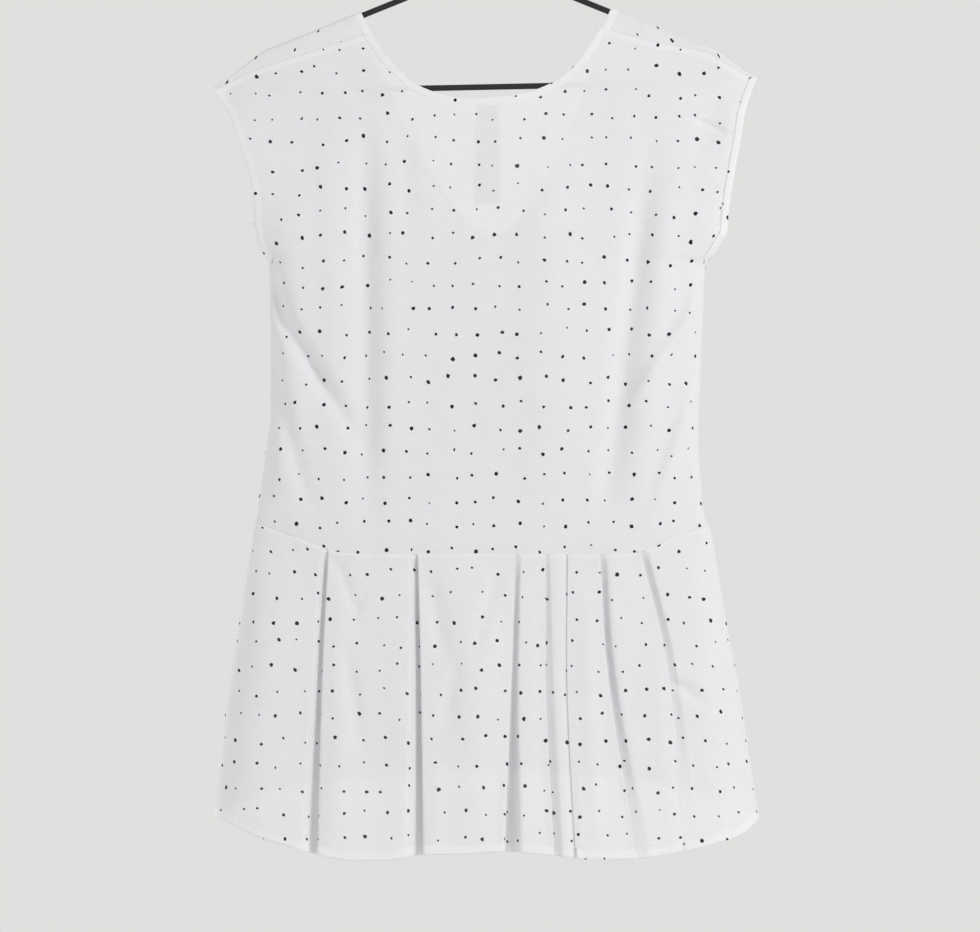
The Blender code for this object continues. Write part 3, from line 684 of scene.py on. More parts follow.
def spots(tree, cloth, turn_by):
    """How black the spots are at a point of the cloth: one uneven pebble in each cell of a loose grid."""
    _, wobble = noise(tree, cloth, WOBBLE_NOISE, 1.0)
    centred = vector(tree, "SUBTRACT", wobble, (0.5, 0.5, 0.5))
    pushed = vector(tree, "MULTIPLY", centred, (SPOT_WOBBLE * MM, SPOT_WOBBLE * MM, 0))
    place = vector(tree, "ADD", turned(tree, cloth, turn_by), pushed)
    spacing = (SPOT_SPACING[0] * MM, SPOT_SPACING[1] * MM, 1)
    grid = vector(tree, "DIVIDE", place, spacing)
    cell = vector(tree, "FLOOR", grid)
    inside = vector(tree, "SUBTRACT", vector(tree, "FRACTION", grid), (0.5, 0.5, 0))
    first_value, first_colour = chance(tree, cell)
    second_value, second_colour = chance(tree, vector(tree, "ADD", cell, (17.3, 41.9, 0)))
    jitter = vector(tree, "SUBTRACT", first_colour, (0.5, 0.5, 0))
    jitter = vector(tree, "MULTIPLY", jitter, (*SPOT_JITTER, 0))
    offset = vector(tree, "MULTIPLY", vector(tree, "SUBTRACT", inside, jitter), spacing)
    parts = added(tree, "SeparateColor", {"Color": second_colour})
    spun = turned(tree, offset, number(tree, "MULTIPLY", parts["Red"], math.pi))
    flat_offset = vector(tree, "MULTIPLY", spun, (1, 1, 0))
    facets = facet_distance(tree, flat_offset, (parts["Green"], first_value, second_value))
    rounded = number(tree, "MULTIPLY", vector(tree, "LENGTH", flat_offset), 1 - SPOT_ANGULARITY)
    distance = number(tree, "ADD", rounded, number(tree, "MULTIPLY", facets, SPOT_ANGULARITY))
    size = number(tree, "POWER", parts["Blue"], 1.5)
    radius = mapped(tree, size, 0, 1, SPOT_RADIUS[0] * MM, SPOT_RADIUS[1] * MM)
    edge = number(tree, "SUBTRACT", radius, distance)
    return mapped(tree, edge, -SPOT_EDGE * MM, SPOT_EDGE * MM, 0, 1, "SMOOTHSTEP")


def facet_distance(tree, offset, chances):
    """Distance out to an uneven five-sided shape, whose first sides lie nearer or further by chance."""
    furthest = None
    for k in range(5):
        angle = 2 * math.pi * k / 5
        reach = vector(tree, "DOT_PRODUCT", offset, (math.cos(angle), math.sin(angle), 0))
        pull = mapped(tree, chances[k], 0, 1, 0.75, 1.35) if k < len(chances) else 1.05
        reach = number(tree, "MULTIPLY", reach, pull)
        furthest = reach if furthest is None else number(tree, "MAXIMUM", furthest, reach)
    return furthest


def cotton(name, colour, alpha, turn_by=0.0):
    """Printed plain-weave cotton: uneven threads, slubs and spots, slightly see-through."""
    made, tree, shader = new_material(
        name, Specular_IOR_Level=0.22, Sheen_Weight=0.12, Sheen_Roughness=0.5, Alpha=alpha
    )
    cloth = added(tree, "UVMap", uv_map="cloth")["UV"]
    warp, _ = noise(tree, vector(tree, "MULTIPLY", cloth, (1, THREAD_STRETCH, 1)), THREAD_NOISE)
    weft, _ = noise(tree, vector(tree, "MULTIPLY", cloth, (THREAD_STRETCH, 1, 1)), THREAD_NOISE)
    threads = number(tree, "ADD", warp, weft)
    cloudy, _ = noise(tree, cloth, CLOUD_NOISE)
    thread_shade = mapped(tree, threads, *THREAD_RANGE, 0.965, 1.02)
    shade = number(tree, "ADD", thread_shade, mapped(tree, cloudy, 0, 1, -0.012, 0.012))
    base = mixed(tree, 1.0, (*colour, 1), shade, "MULTIPLY")
    printed = mixed(tree, spots(tree, cloth, turn_by), base, (*SPOT_COLOUR, 1))
    join(tree, printed, shader.inputs["Base Color"])
    join(tree, mapped(tree, threads, *THREAD_RANGE, 0.95, 0.80), shader.inputs["Roughness"])
    weave = number(tree, "MULTIPLY", woven(tree, cloth), 0.5)
    bumped(tree, shader, number(tree, "ADD", weave, threads), 0.22, RELIEF)
    return made


def woven(tree, cloth):
    """Height of a plain weave."""
    parts = added(tree, "SeparateXYZ", {"Vector": cloth})
    turn_rate = math.pi / (WEAVE_PITCH * MM)
    wave = [number(tree, "SINE", number(tree, "MULTIPLY", parts[axis], turn_rate)) for axis in ("X", "Y")]
    return number(tree, "MULTIPLY", *wave)


def object_coordinates(tree):
    """Places in metres on the piece that wears the material."""
    return added(tree, "TexCoord")["Object"]


def coated_wire():
    """Matte black powder coating: faint orange peel and a slightly uneven gloss."""
    made, tree, shader = new_material("black_coated_wire", Specular_IOR_Level=0.4)
    where = object_coordinates(tree)
    peel, _ = noise(tree, where, 900.0, 3.0)
    patches, _ = noise(tree, where, 60.0)
    join(tree, mapped(tree, patches, 0.3, 0.7, 0.42, 0.58), shader.inputs["Roughness"])
    tint = mixed(tree, patches, (*WIRE_COLOUR, 1), (*WORN_WIRE_COLOUR, 1))
    join(tree, tint, shader.inputs["Base Color"])
    bumped(tree, shader, peel, 0.25, 0.0001)
    return made


def satin_tape_painted_shade():
    """Blank label tape: fine cross ribs and a soft sheen, on a grey that is painted shade for the light the
    label keeps from the cloth over it.
    """
    made, tree, shader = new_material("satin_tape_painted_shade", Roughness=0.45, Specular_IOR_Level=0.4, Sheen_Weight=0.2)
    values = {"Vector": object_coordinates(tree), "Scale": 500.0, "Distortion": 0.6}
    ribs = added(tree, "TexWave", values, bands_direction="Z")["Fac"]
    tint = mapped(tree, ribs, 0, 1, 0.93, 1.03)
    join(tree, mixed(tree, 1.0, (*LABEL_PAINTED_SHADE_COLOUR, 1), tint, "MULTIPLY"), shader.inputs["Base Color"])
    bumped(tree, shader, ribs, 0.3, 0.0001)
    return made


def thread_material():
    """Cotton sewing thread, faintly uneven along its twist."""
    made, tree, shader = new_material("sewing_thread", Roughness=0.6, Specular_IOR_Level=0.3)
    twist, _ = noise(tree, object_coordinates(tree), 2600.0, 1.0)
    tint = mixed(tree, twist, (*DARK_THREAD_COLOUR, 1), (*THREAD_COLOUR, 1))
    join(tree, tint, shader.inputs["Base Color"])
    return made


def across_strip(stations, distances):
    """Points of a panel's surface at distances inward from each station along its edge."""
    side, x, drop, inward_x, inward_drop = stations.T[:, :, None]
    near = np.maximum(distances, 0.0)
    x = x + inward_x * near
    drop = drop + inward_drop * near
    y = np.empty(x.shape)
    for way, folds in FOLDS.items():
        rows = side[:, 0] == way
        y[rows] = way * np.maximum(depth(way, folds, x[rows], drop[rows]) - SHEET_INSET, LEAST_DEPTH)
    return np.stack([x, y, -drop], axis=-1)


def strip_frame(stations, distances):
    """Surface points and outward normals at distances inward from a route along a panel's edge."""
    surface = across_strip(stations, distances)
    inner = unit(across_strip(stations, np.maximum(distances, 0) + INWARD_STEP) - surface)
    normal = unit(np.cross(np.gradient(surface, axis=0), inner))
    way = np.sign(normal[-1, -1, 1] * stations[-1, 0])
    return surface + inner * np.minimum(distances, 0)[None, :, None], normal * way


def binding_strip(name, stations, finish, thread, tapered):
    """A bias strip folded over a raw edge, with a row of stitches near its open side.

    A tapered strip lies down flat at its end, where the side seam catches it.
    """
    distances, heights = np.array(BINDING_SECTION).T
    surface, normal = strip_frame(stations, distances)
    length = lengths(surface, 0)[:, 4]
    puff = 1 + BINDING_PUFF * soft_noise(length / 5.5, length * 0, 11 + len(name))
    if tapered:
        puff = puff * blend(BINDING_TAPER_END, 1, smooth_step((length[-1] - length) / BINDING_TAPER))
    points = surface + normal * (heights[None, :] * puff[:, None])[:, :, None]
    wide = lengths(points, 1)[len(points) // 2]
    flat = np.stack(np.broadcast_arrays(length[:, None], wide), -1)
    strip = sheet_mesh(name, points, flat, finish, flip=facing_in(points, normal))
    seat, up = strip_frame(stations, np.array([BINDING_STITCH_AT]))
    seam = seat[:, 0] + up[:, 0] * STITCH_LIFT
    stitches(name + "_stitches", seam, up[:, 0], thread)
    return strip


def facing_in(points, normal):
    """Whether a grid's faces would face against the given normals."""
    down = np.diff(points, axis=0)[:, :-1]
    right = np.diff(points, axis=1)[:-1]
    some = down.shape[1] // 3
    return float((np.cross(down, right)[:, :some] * normal[:-1, :some]).sum()) < 0


def stitches(name, route, normals, finish):
    """Short rounded stitches end to end along a route, each a little sunk at both ends."""
    run = lengths(route[:, None], 0)[:, 0]
    centres = (np.arange(int(run[-1] / STITCH_PITCH)) + 0.5) * STITCH_PITCH
    start, end = (read_at(centres + reach, run, route) for reach in STITCH_SPAN)
    along = unit(end - start)
    up = read_at(centres, run, normals)
    up = unit(up - along * (up * along).sum(axis=1, keepdims=True))
    angles = round_angles(STITCH_SIDES)[:, None]
    around = np.cross(along, up)[:, None] * np.cos(angles) + up[:, None] * np.sin(angles)
    rings = []
    for share, swell, lift in STITCH_SHAPE:
        middle = (start + end) / 2 + along * share * STITCH_LENGTH + up * lift
        rings.append(middle[:, None] + around * swell * STITCH_WIDTH / 2)
    points = np.stack(rings, axis=1)
    faces = []
    for first in range(0, points.size // 3, len(rings) * STITCH_SIDES):
        faces += ring_faces(len(rings), STITCH_SIDES, start=first)
    return solid_mesh(name, points, faces, finish)


def read_at(at, run, rows):
    """A table's rows read between its lines, at distances along it."""
    return np.stack([np.interp(at, run, column) for column in rows.T], axis=-1)


def station_table(side, x, drop, inward):
    """Places along an edge: side, x, drop and the unit way inward. Each is a row."""
    return np.column_stack([np.broadcast_to(side, x.shape), x, drop, unit(inward)])


def neck_curve_stations(side, curve):
    """Stations along a neckline from its left end to its right one, with the way inward square to it."""
    columns = panel_columns()[0][SHOULDER_COLUMNS : SHOULDER_COLUMNS + NECK_COLUMNS + 1]
    drop = drop_where(curve, columns)
    ends = columns[[0, -1]]
    at_arm = drop_where(shoulder_seam, ends) if side == BACK else drop_where(ridge, ends) + FAR_WRAP_DROP
    drop[[0, -1]] = at_arm
    x, drop = evenly_spaced(column_x(columns, drop), drop)
    way = np.stack([-np.gradient(drop), np.gradient(x)], axis=1)
    return station_table(side, x, drop, way)


def evenly_spaced(x, drop):
    """A line's points, set out again at even steps along it."""
    run = np.concatenate([[0], np.cumsum(np.hypot(np.diff(x), np.diff(drop)))])
    at = np.linspace(0, run[-1], int(run[-1] / STATION_STEP))
    return np.interp(at, run, x), np.interp(at, run, drop)


def over_shoulder_stations(shoulder_x, way):
    """Stations beside the neck, from the shoulder seam over the hanger's arm to the front neckline."""
    seam = float(drop_where(shoulder_seam, shoulder_x))
    top = float(drop_where(ridge, shoulder_x))
    near = blend(seam, top, np.linspace(0, 1, 12) ** 0.7)
    far = top + FAR_WRAP_DROP * np.linspace(0, 1, 12)[1:] ** 1.6
    drop = np.concatenate([near, far])
    side = [BACK] * len(near) + [FRONT] * len(far)
    inward = np.tile([way * math.cos(ARM_ANGLE), math.sin(ARM_ANGLE)], (len(drop), 1))
    return station_table(side, column_x(shoulder_x, drop), drop, inward)


def neck_stations():
    """Stations round the neck in two parts: the back's neckline, and the front's from arm to arm."""
    back = neck_curve_stations(BACK, back_neckline)
    right = over_shoulder_stations(BACK_NECKLINE[-1][0], 1)
    front = neck_curve_stations(FRONT, front_neckline)
    left = over_shoulder_stations(BACK_NECKLINE[0][0], -1)
    whole = eased(np.vstack([back[:-1], right, front[-2:0:-1], left[::-1]]))
    return whole[: len(back)], whole[len(back) - 1 :]


def eased(stations, passes=10):
    """Stations whose inward way turns gradually where two stretches meet."""
    inward = stations[:, 3:]
    for _ in range(passes):
        inward = (np.roll(inward, 1, axis=0) + 2 * inward + np.roll(inward, -1, axis=0)) / 4
    return np.hstack([stations[:, :3], unit(inward)])


def armhole_stations(side, edge, cap, way):
    """Stations down an armhole's edge from the cap's tip to the underarm."""
    drop = np.linspace(cap[1] + 0.5, UNDERARM_DROP, ARMHOLE_STATIONS)
    x = edge(drop)
    slope = np.gradient(x, drop)
    square = unit(np.stack([way * np.ones_like(slope), -way * slope], axis=1))
    below_top = smooth_step((drop - ridge(x)) / 40)[:, None]
    inward = blend(np.array([float(way), 0.0]), square, below_top)
    near_end = smooth_step(1 - (UNDERARM_DROP - drop) / 9)[:, None]
    inward = blend(inward, np.array([0.02 * way, 1.0]), near_end)
    return station_table(side, x, drop, inward)


def seam_rows(start, end, count):
    """Drops from start to end in rows that crowd at both ends, where the seams dip."""
    beside = np.array(ROWS_BESIDE_SEAM)[:, None]
    share = np.linspace(0, 1, count)[:, None]
    middle = blend(start + ROWS_CLEAR_OF_SEAM, end - ROWS_CLEAR_OF_SEAM, share)
    return np.vstack([start + beside, middle, end - beside[::-1]])


def seam_dip(distance, height=SEAM_DIP, reach=SEAM_DIP_REACH):
    """How far cloth sinks beside a sewn seam."""
    return height * np.exp(-((distance / reach) ** 2))


def lapped(distance):
    """How far the rows that lap over a seam are sunk under the other panel."""
    return SEAM_LAP_DEPTH * (distance < SEAM_LAP - 0.2)


def waist_dip(distance, reach):
    """How far cloth sinks beside the waist seam: sharply at the stitches, and softly over a reach."""
    return seam_dip(distance) + seam_dip(distance, WAIST_DIP, reach)


def panel_surface(side, folds, x, drop, dip):
    """Points of a side's cloth at x and drop, sunk by a dip."""
    y = np.maximum(depth(side, folds, x, drop) - SHEET_INSET - dip, LEAST_DEPTH)
    return np.stack(np.broadcast_arrays(x, side * y, -drop), axis=-1)


def back_bodice_points():
    """The back panel, from the shoulder seams and the neckline down to the waist."""
    columns, neck = panel_columns()
    top = np.where(neck, drop_where(back_neckline, columns), drop_where(shoulder_seam, columns) - SEAM_LAP)
    bottom = drop_where(waist[BACK], columns)
    drop = seam_rows(top, bottom, BACK_ROWS)
    at_shoulder = np.where(neck, 0, seam_dip(drop - top) + lapped(drop - top))
    x = column_x(columns, drop)
    return panel_surface(BACK, BACK_FOLDS, x, drop, at_shoulder + waist_dip(bottom - drop, 7))


def front_bodice_points():
    """The front panel, from the shoulder seam on the garment's back, over the arms, down to the waist."""
    columns, neck = panel_columns()
    seam = drop_where(shoulder_seam, columns)
    top = drop_where(ridge, columns)
    rise = (1 - np.arange(WRAP_ROWS) / WRAP_ROWS) ** 1.7
    near_drop = top + np.maximum(seam - top, 0.4) * rise[:, None]
    near_dip = seam_dip(seam - near_drop) * 0.4 * smooth_step((near_drop - top) / 3)
    near = panel_surface(BACK, BACK_FOLDS, column_x(columns, near_drop), near_drop, near_dip)
    far_drop = top + FAR_WRAP_DROP * (np.arange(FAR_WRAP_ROWS)[:, None] / FAR_WRAP_ROWS) ** 1.8
    far = panel_surface(FRONT, FRONT_FOLDS, column_x(columns, far_drop), far_drop, 0)
    wrap = np.vstack([near, far])
    start = np.where(neck, drop_where(front_neckline, columns), top + FAR_WRAP_DROP)
    bottom = drop_where(waist[FRONT], columns)
    drop = seam_rows(start, bottom, FRONT_ROWS)
    hang = panel_surface(FRONT, FRONT_FOLDS, column_x(columns, drop), drop, waist_dip(bottom - drop, 7))
    points = np.vstack([wrap, hang])
    present = np.ones((len(points) - 1, len(columns) - 1), bool)
    present[: len(wrap)] = ~(neck[1:] | neck[:-1])
    return points, present


def turn(middle_x, middle_layer, way, radius):
    """Points round a folded edge, as x and layer: half a turn from one layer to the next."""
    angles = np.linspace(0, math.pi, TURN_POINTS)
    return [(middle_x + way * radius * math.sin(a), middle_layer - 0.5 * math.cos(a)) for a in angles]


def pleat_section(pleat, t):
    """x and inset of the points round one pleat, from left to right, at a share t of the way to the hem."""
    faces, seam_x, third_x, hem_x, seam_width, hem_width, top_pitch, half_pitch, hem_pitch, *ramps = pleat
    edge = float(curve_through(((0, seam_x), (0.35, third_x), (1, hem_x)))(t))
    width = blend(seam_width, hem_width, t)
    steps = ((0, PITCH_AT_SEAM), (0.06, top_pitch), (0.45, half_pitch), (1, hem_pitch))
    pitch = float(curve_through(steps)(t))
    ramp = float(curve_through(((0, ramps[0]), (0.45, ramps[1]), (1, ramps[2])))(t))
    radius = min(pitch / 2, width * 0.3)
    over = [(edge - faces * reach, 0) for reach in np.linspace(PLEAT_FLAT, 2.2 * radius, 5)]
    outer = turn(edge - faces * radius, 0.5, faces, radius)
    inner_edge = edge - faces * (width - radius)
    between = [(blend(outer[-1][0], inner_edge, s), 1) for s in (1 / 3, 2 / 3)]
    inner = turn(inner_edge, 1.5, -faces, radius)
    under = [
        (edge + faces * blend(UNDER_REACH, ramp, s), 2 * (1 - s**UNDER_FLATNESS) ** UNDER_EASE)
        for s in np.linspace(0, 1, 9)
    ]
    run = [(x, layer * pitch) for x, layer in (*over, *outer, *between, *inner, *under)]
    return run if faces > 0 else run[::-1]


def filled_in(start, end, steps):
    """Points between two ends of a flat stretch, both ends left out."""
    return [tuple(blend(a, b, s) for a, b in zip(start, end)) for s in np.arange(1, steps) / steps]


def peplum_section(pleats, t, left, right, steps):
    """x and inset of the points across the peplum at a share t of the way from the seam to the hem."""
    runs = [pleat_section(pleat, t) for pleat in pleats]
    section = [(left, 0.0), *filled_in((left, 0.0), runs[0][0], steps[0])]
    for place, run in enumerate(runs):
        section += run
        after = runs[place + 1][0] if place + 1 < len(runs) else (right, 0.0)
        section += filled_in(run[-1], after, steps[place + 1])
    section.append((right, 0.0))
    return np.array(section).T


def peplum_steps(pleats):
    """How many cells each flat stretch between pleats takes, from its width at the hem."""
    runs = [pleat_section(pleat, 1.0) for pleat in pleats]
    starts = [LEFT_SIDE[-1][1], *(run[-1][0] for run in runs)]
    ends = [*(run[0][0] for run in runs), RIGHT_SIDE[-1][1]]
    return [max(2, round(abs(end - start) / FLAT_STEP)) for start, end in zip(starts, ends)]


def peplum_points(side, folds, pleats):
    """A peplum's cloth with its pleats folded, from the waist seam to the hem's edge."""
    steps = peplum_steps(pleats)
    shares = np.concatenate([[0, 0.0025, 0.0055, 0.0095, 0.014], np.linspace(0.02, 1, PEPLUM_ROWS)])
    sections = []
    for t in shares:
        left = float(left_edge(blend(BACK_WAIST[0][1], BACK_HEM[0][1], t)))
        right = float(right_edge(blend(BACK_WAIST[-1][1], BACK_HEM[-1][1], t)))
        sections.append(peplum_section(pleats, t, left, right, steps))
    x = np.array([section[0] for section in sections])
    inset = np.array([section[1] for section in sections])
    top = waist[side](x[0]) - SEAM_LAP
    bottom = hem[side](x[-1])
    drop = blend(top, bottom, shares[:, None])
    run = lengths(np.stack([x, inset, drop * 0], axis=-1), 1)
    dip = waist_dip(drop - top, 2.2) + inset + lapped(drop - top)
    dip = dip - seam_dip(drop - top - SEAM_ROLL_AT, SEAM_ROLL, SEAM_ROLL_REACH)
    dip = dip - puckers(run, drop - top, bottom - drop, 61 if side == BACK else 83)
    points = panel_surface(side, folds, x, drop, dip)
    points[:, [0, -1], 1] = side * LEAST_DEPTH
    return points


def puckers(run, from_seam, from_hem, seed):
    """Ripples where the stitching draws the cloth in: short under the waist seam, faint along the hem."""
    at_seam = 0.8 * soft_noise(run / 5.5, from_seam / 40, seed) * np.exp(-from_seam / 16)
    at_seam = at_seam * (1 - np.exp(-from_seam / 2.5))
    at_hem = 0.28 * soft_noise(run / 6.5, from_hem / 30, seed + 1) * np.exp(-(((from_hem - 8) / 5) ** 2))
    return at_seam + at_hem


def along_columns(points, distances):
    """Points at distances up each column of a grid from its last row."""
    up = points[::-1]
    run = lengths(up, 0)
    return np.stack([read_at(distances, run[:, k], up[:, k]) for k in range(up.shape[1])], axis=1)


def hemmed(side, points):
    """The peplum with its hem turned up once inside, and the line and normals where the hem is stitched."""
    normals = grid_normals(points, side)
    up, behind = np.array(HEM_TURN).T
    inner = along_columns(points, up) - normals[-1] * behind[:, None, None]
    fold = points[-1:] - normals[-1:] * 0.4
    fold[:, :, 2] -= 0.25
    line = along_columns(points, [HEM_STITCH_AT])[0]
    return np.vstack([points, fold, inner]), line + normals[-4] * 0.12, normals[-4]


def cloth_flat(points, origin, anchor):
    """Flat cloth coordinates: width along each row from a column, and drop along each column from a row."""
    level = points * (1, 1, 0)
    upright = points * (0, 1, 1)
    width = lengths(level, 1)
    width = width - width[:, origin : origin + 1] + points[:, origin : origin + 1, 0]
    fall = lengths(upright, 0)
    fall = points[anchor, :, 2][None, :] + fall[anchor][None, :] - fall
    return np.stack([width, fall], axis=-1)


def panel(name, node, points, flat, finish, present=None, doubled_rows_painted_lighter=()):
    """A panel's sheet, shown in place of the panel's solid."""
    made = sheet_mesh(name, points, flat, finish, present, doubled_rows_painted_lighter=doubled_rows_painted_lighter)
    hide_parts(node)
    uv = np.empty(2 * len(made.data.loops))
    made.data.uv_layers["cloth"].data.foreach_get("uv", uv)


def allowance(name, points, side, finish):
    """The seam allowance inside the waist, pressed up against the bodice."""
    inner = along_columns(points, ALLOWANCE_ROWS) - grid_normals(points, side)[-6] * ALLOWANCE_BEHIND
    inner = inner[:, 2:-2]
    flat = np.stack([inner[:, :, 0], inner[:, :, 2] + 3], axis=-1)
    return sheet_mesh(name, inner, flat, finish)


def label(name, node, box, finish):
    """A blank tape label on the inside of the back."""
    left, right, top, bottom = box
    x = np.linspace(left, right, LABEL_COLUMNS)[None, :]
    drop = np.linspace(top, bottom, LABEL_ROWS)[:, None]
    points = panel_surface(BACK, BACK_FOLDS, x, drop, LABEL_INSET)
    half_wall = grid_normals(points, BACK) * LABEL_WALL / 2
    rings = np.concatenate([points - half_wall, (points + half_wall)[:, ::-1]], axis=1)
    made = ringed(name, rings, finish)
    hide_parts(node)
    return made


def round_angles(sides):
    """Even angles once round."""
    return np.arange(sides) / sides * 2 * math.pi


def tube(name, route, finish, closed=False):
    """A round wire along a route of x and drop. Unless it is closed, its far end is rounded."""
    route = np.array(route)
    before = np.roll(route, 1, axis=0)
    after = np.roll(route, -1, axis=0)
    if not closed:
        before[0] = route[0]
        after[-1] = route[-1]
    along = unit(after - before)
    radius = np.full(len(route), WIRE_RADIUS)
    if not closed:
        angles = np.linspace(0, math.pi / 2, WIRE_END_STEPS + 1)[1:-1]
        tip = route[-1] + along[-1] * (WIRE_RADIUS * np.sin(angles))[:, None]
        route = np.vstack([route, tip])
        along = np.vstack([along, np.tile(along[-1], (len(tip), 1))])
        radius = np.concatenate([radius, WIRE_RADIUS * np.cos(angles)])
    angles = round_angles(WIRE_SIDES)
    aside = np.stack([-along[:, 1], along[:, 0]], axis=1)
    x = route[:, :1] + aside[:, :1] * radius[:, None] * np.cos(angles)
    drop = route[:, 1:] + aside[:, 1:] * radius[:, None] * np.cos(angles)
    y = radius[:, None] * np.sin(angles)
    return ringed(name, np.stack([x, y, -drop], axis=-1), finish, closed)


def arc(centre, radius, start, end, steps):
    """Points along part of a circle, with angles from the right and downward."""
    angles = np.linspace(start, end, steps + 1)
    return [(centre[0] + radius * math.cos(a), centre[1] + radius * math.sin(a)) for a in angles]


def end_bend(radius):
    """The turn from an arm's end back into the bar, from the top of the turn to its foot."""
    arm_end = (ARM_REACH, APEX_DROP + ARM_REACH * math.tan(ARM_ANGLE))
    centre = (arm_end[0] - radius * math.sin(ARM_ANGLE), arm_end[1] + radius * math.cos(ARM_ANGLE))
    return arc(centre, radius, ARM_ANGLE - math.pi / 2, math.pi / 2, 28)


def hanger_loop():
    """x and drop along the arms, the two end bends and the bar, once round from the apex."""
    apex_centre = (0, APEX_DROP + APEX_BEND / math.cos(ARM_ANGLE))
    half_apex = arc(apex_centre, APEX_BEND, -math.pi / 2, ARM_ANGLE - math.pi / 2, 8)
    middle = (ARM_REACH / 2, APEX_DROP + ARM_REACH / 2 * math.tan(ARM_ANGLE))
    right = [*half_apex, middle, *end_bend(RIGHT_END_BEND)]
    left = [*half_apex[1:], middle, *end_bend(LEFT_END_BEND)]
    return [(APEX_X + u, drop) for u, drop in right] + [(APEX_X - u, drop) for u, drop in left[::-1]]


def hook_route(collar_top):
    """x and drop from the collar up the stem and over the hook to its tip."""
    centre = (0, HOOK_RADIUS - WIRE_RADIUS)
    bend = arc(centre, HOOK_RADIUS, HOOK_FOOT_ANGLE, -HOOK_TIP_ANGLE, 72)
    foot = (APEX_X, collar_top - SEAM_GAP)
    corner = (APEX_X, bend[0][1] + 4)
    stem = [
        tuple((1 - s) ** 2 * a + 2 * s * (1 - s) * b + s * s * c for a, b, c in zip(foot, corner, bend[0]))
        for s in np.linspace(0, 1, 17)[:-1]
    ]
    return [*stem, *bend]


def collar(middle_drop, finish):
    """The short tube that joins the hook to the loop, with eased rims and a crimped waist."""
    half = COLLAR_HEIGHT / 2
    lower = [(COLLAR_EASE, half), (0.2, half - 0.2), (0.0, half - COLLAR_EASE), *COLLAR_CRIMP]
    inset, down = np.array(lower).T[:, :, None]
    radius = COLLAR_RADIUS - np.vstack([inset, inset[::-1]])
    height = np.vstack([-down, down[::-1]]) - middle_drop
    angles = round_angles(COLLAR_SIDES)
    ring = np.broadcast_arrays(APEX_X + radius * np.cos(angles), radius * np.sin(angles), height)
    return ringed("hanger_collar_tube", np.stack(ring, axis=-1), finish)


def made_hanger(finish):
    """The loop of wire, the collar tube and the hook, one above the other."""
    frame_wire = tube("hanger_frame_wire", hanger_loop(), finish, closed=True)
    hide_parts("hanger_frame")
    loop_top = APEX_DROP + APEX_BEND / math.cos(ARM_ANGLE) - APEX_BEND - WIRE_RADIUS
    collar_base = loop_top - SEAM_GAP
    collar_tube = collar(collar_base - COLLAR_HEIGHT / 2, finish)
    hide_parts("hanger_collar")
    hook_wire = tube("hanger_hook_wire", hook_route(collar_base - COLLAR_HEIGHT), finish)
    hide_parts("hanger_hook")


def made_bodices(cotton_finish, seam_painted_light_finish, binding_finish, tape, thread):
    """The bodice's two panels with their bindings, waist allowances and labels."""
    back = back_bodice_points()
    front, present = front_bodice_points()
    routes = dict(zip(("back_neck_binding", "front_neck_binding"), neck_stations()))
    hands = (("left", left_edge, LEFT_CAP[0], 1), ("right", right_edge, RIGHT_CAP[-1], -1))
    for hand, edge, cap, way in hands:
        for name, side in (("back", BACK), ("front", FRONT)):
            routes[f"{name}_{hand}_armhole_binding"] = armhole_stations(side, edge, cap, way)
    pieces = {"back": [], "front": []}
    for node, stations in routes.items():
        strip = binding_strip(node + "_strip", stations, binding_finish, thread, "armhole" in node)
        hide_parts(node)
        pieces[node.split("_")[0]] += [strip, bpy.data.objects[node + "_strip_stitches"]]
    pieces["back"].append(allowance("back_waist_allowance", back, BACK, cotton_finish))
    pieces["front"].append(allowance("front_waist_allowance", front, FRONT, cotton_finish))
    # the labels' grey tape is painted shade for the light they keep from the cloth over them
    for box, node in ((NECK_LABEL, "neck_label"), (CARE_LABEL, "care_label")):
        pieces["back"].append(label(node + "_tape", node, box, tape))
    # the back's rows along the shoulder seam take the lighter cloth, painted light for the doubled layers
    # there
    shoulders = [(slice(SHOULDER_SEAM_ROWS), seam_painted_light_finish)]
    for name, points, there, doubled_rows_painted_lighter in (("back", back, None, shoulders), ("front", front, present, ())):
        flat = cloth_flat(points, SHOULDER_COLUMNS, -1)
        node = name + "_bodice"
        panel(node + "_cloth", node, points, flat, cotton_finish, there, doubled_rows_painted_lighter)


def made_peplums(cotton_finish, seam_painted_light_finish, hem_painted_light_finish, thread):
    """The two pleated panels with their stitched hems."""
    for side, name, folds, pleats in (
        (BACK, "back_peplum", BACK_PEPLUM_FOLDS, BACK_PLEATS),
        (FRONT, "front_peplum", FRONT_PEPLUM_FOLDS, FRONT_PLEATS),
    ):
        points = peplum_points(side, folds, pleats)
        cloth, line, line_normals = hemmed(side, points)
        sewn = stitches(name + "_hem_stitches", line, line_normals, thread)
        flat = cloth_flat(cloth, points.shape[1] // 2, 0)
        # the rows along the waist seam and the hem take the lighter cloth, painted light for the doubled
        # layers there
        hem_rows = slice(len(points) - 1 - HEM_ROWS, None)
        doubled_rows_painted_lighter = [(slice(WAIST_SEAM_ROWS), seam_painted_light_finish), (hem_rows, hem_painted_light_finish)]
        panel(name + "_cloth", name, cloth, flat, cotton_finish, None, doubled_rows_painted_lighter)


def made_stage():
    """A plain pale floor, well under the garment."""
    bpy.ops.mesh.primitive_circle_add(vertices=96, radius=STAGE_RADIUS, fill_type="NGON")
    floor = bpy.context.object
    floor.name = "floor"
    floor.location = (0, 0, -STAGE_DROP * MM)
    colour = (*WALL_COLOUR, 1)
    finish, _, _ = new_material("floor_paint", Base_Color=colour, Roughness=0.8, Specular_IOR_Level=0.3)
    floor.data.materials.append(finish)


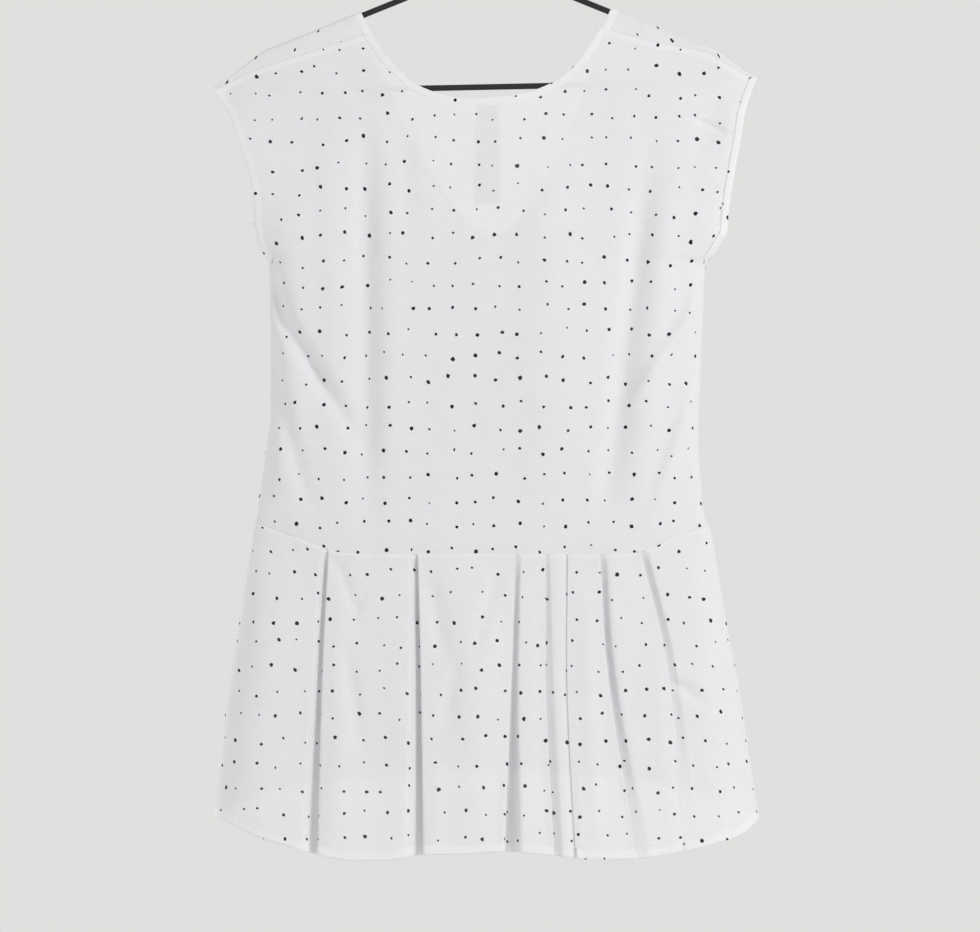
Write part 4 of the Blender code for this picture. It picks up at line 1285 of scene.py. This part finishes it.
def made_world():
    """A pale room: its far wall, beyond the garment, is brighter than the side that the camera stands on."""
    world = bpy.data.worlds.new("pale_room")
    world.use_nodes = True
    tree = world.node_tree
    way = added(tree, "SeparateXYZ", {"Vector": added(tree, "TexCoord")["Generated"]})
    beyond = mapped(tree, way["Y"], -0.1, 0.5, 0, 1, "SMOOTHSTEP")
    room = mixed(tree, beyond, (*ROOM_COLOUR, 1), (*WALL_COLOUR, 1))
    join(tree, room, tree.nodes["Background"].inputs["Color"])
    bpy.context.scene.world = world
    bpy.context.scene.view_settings.view_transform = "Standard"


def area_light(name, place, watts, size):
    """A square lamp aimed at the middle of the garment."""
    lamp = bpy.data.lights.new(name, "AREA")
    lamp.energy = watts
    lamp.size = size
    made = bpy.data.objects.new(name, lamp)
    made.location = place
    bpy.context.scene.collection.objects.link(made)
    away = made.location - Vector(LIGHT_TARGET)
    made.rotation_euler = away.to_track_quat("Z", "Y").to_euler()


def made_camera():
    """A level camera far off, whose view is the photograph's frame."""
    lens = bpy.data.cameras.new("camera")
    lens.sensor_width = SENSOR_WIDTH
    lens.lens = SENSOR_WIDTH * CAMERA_DISTANCE / (FRAME_WIDTH_PX * MM_PER_PX * MM)
    camera = bpy.data.objects.new("camera", lens)
    middle_x = (FRAME_WIDTH_PX / 2 - CENTRE_X_PX) * MM_PER_PX
    middle_drop = TOP_DROP + FRAME_HEIGHT_PX / 2 * MM_PER_PX
    camera.location = (middle_x * MM, -CAMERA_DISTANCE, -middle_drop * MM)
    camera.rotation_euler = (math.pi / 2, 0, 0)
    bpy.context.scene.collection.objects.link(camera)
    bpy.context.scene.camera = camera


def main():
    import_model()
    cotton_finish = cotton("printed_cotton", CLOTH_COLOUR, CLOTH_ALPHA)
    # the hem's and the seams' copies of the cloth are lighter: painted light for doubled cloth
    hem_painted_light_finish = cotton("hem_cotton_painted_light", HEM_PAINTED_LIGHT_COLOUR, 1.0)
    seam_painted_light_finish = cotton("seam_cotton_painted_light", SEAM_PAINTED_LIGHT_COLOUR, 0.97)
    binding_finish = cotton("bias_cotton", BINDING_COLOUR, 1.0, math.radians(45))
    thread = thread_material()
    made_hanger(coated_wire())
    made_bodices(cotton_finish, seam_painted_light_finish, binding_finish, satin_tape_painted_shade(), thread)
    made_peplums(cotton_finish, seam_painted_light_finish, hem_painted_light_finish, thread)
    made_stage()
    made_world()
    for name, (place, watts, size) in LIGHTS.items():
        area_light(name, place, watts, size)
    made_camera()


main()
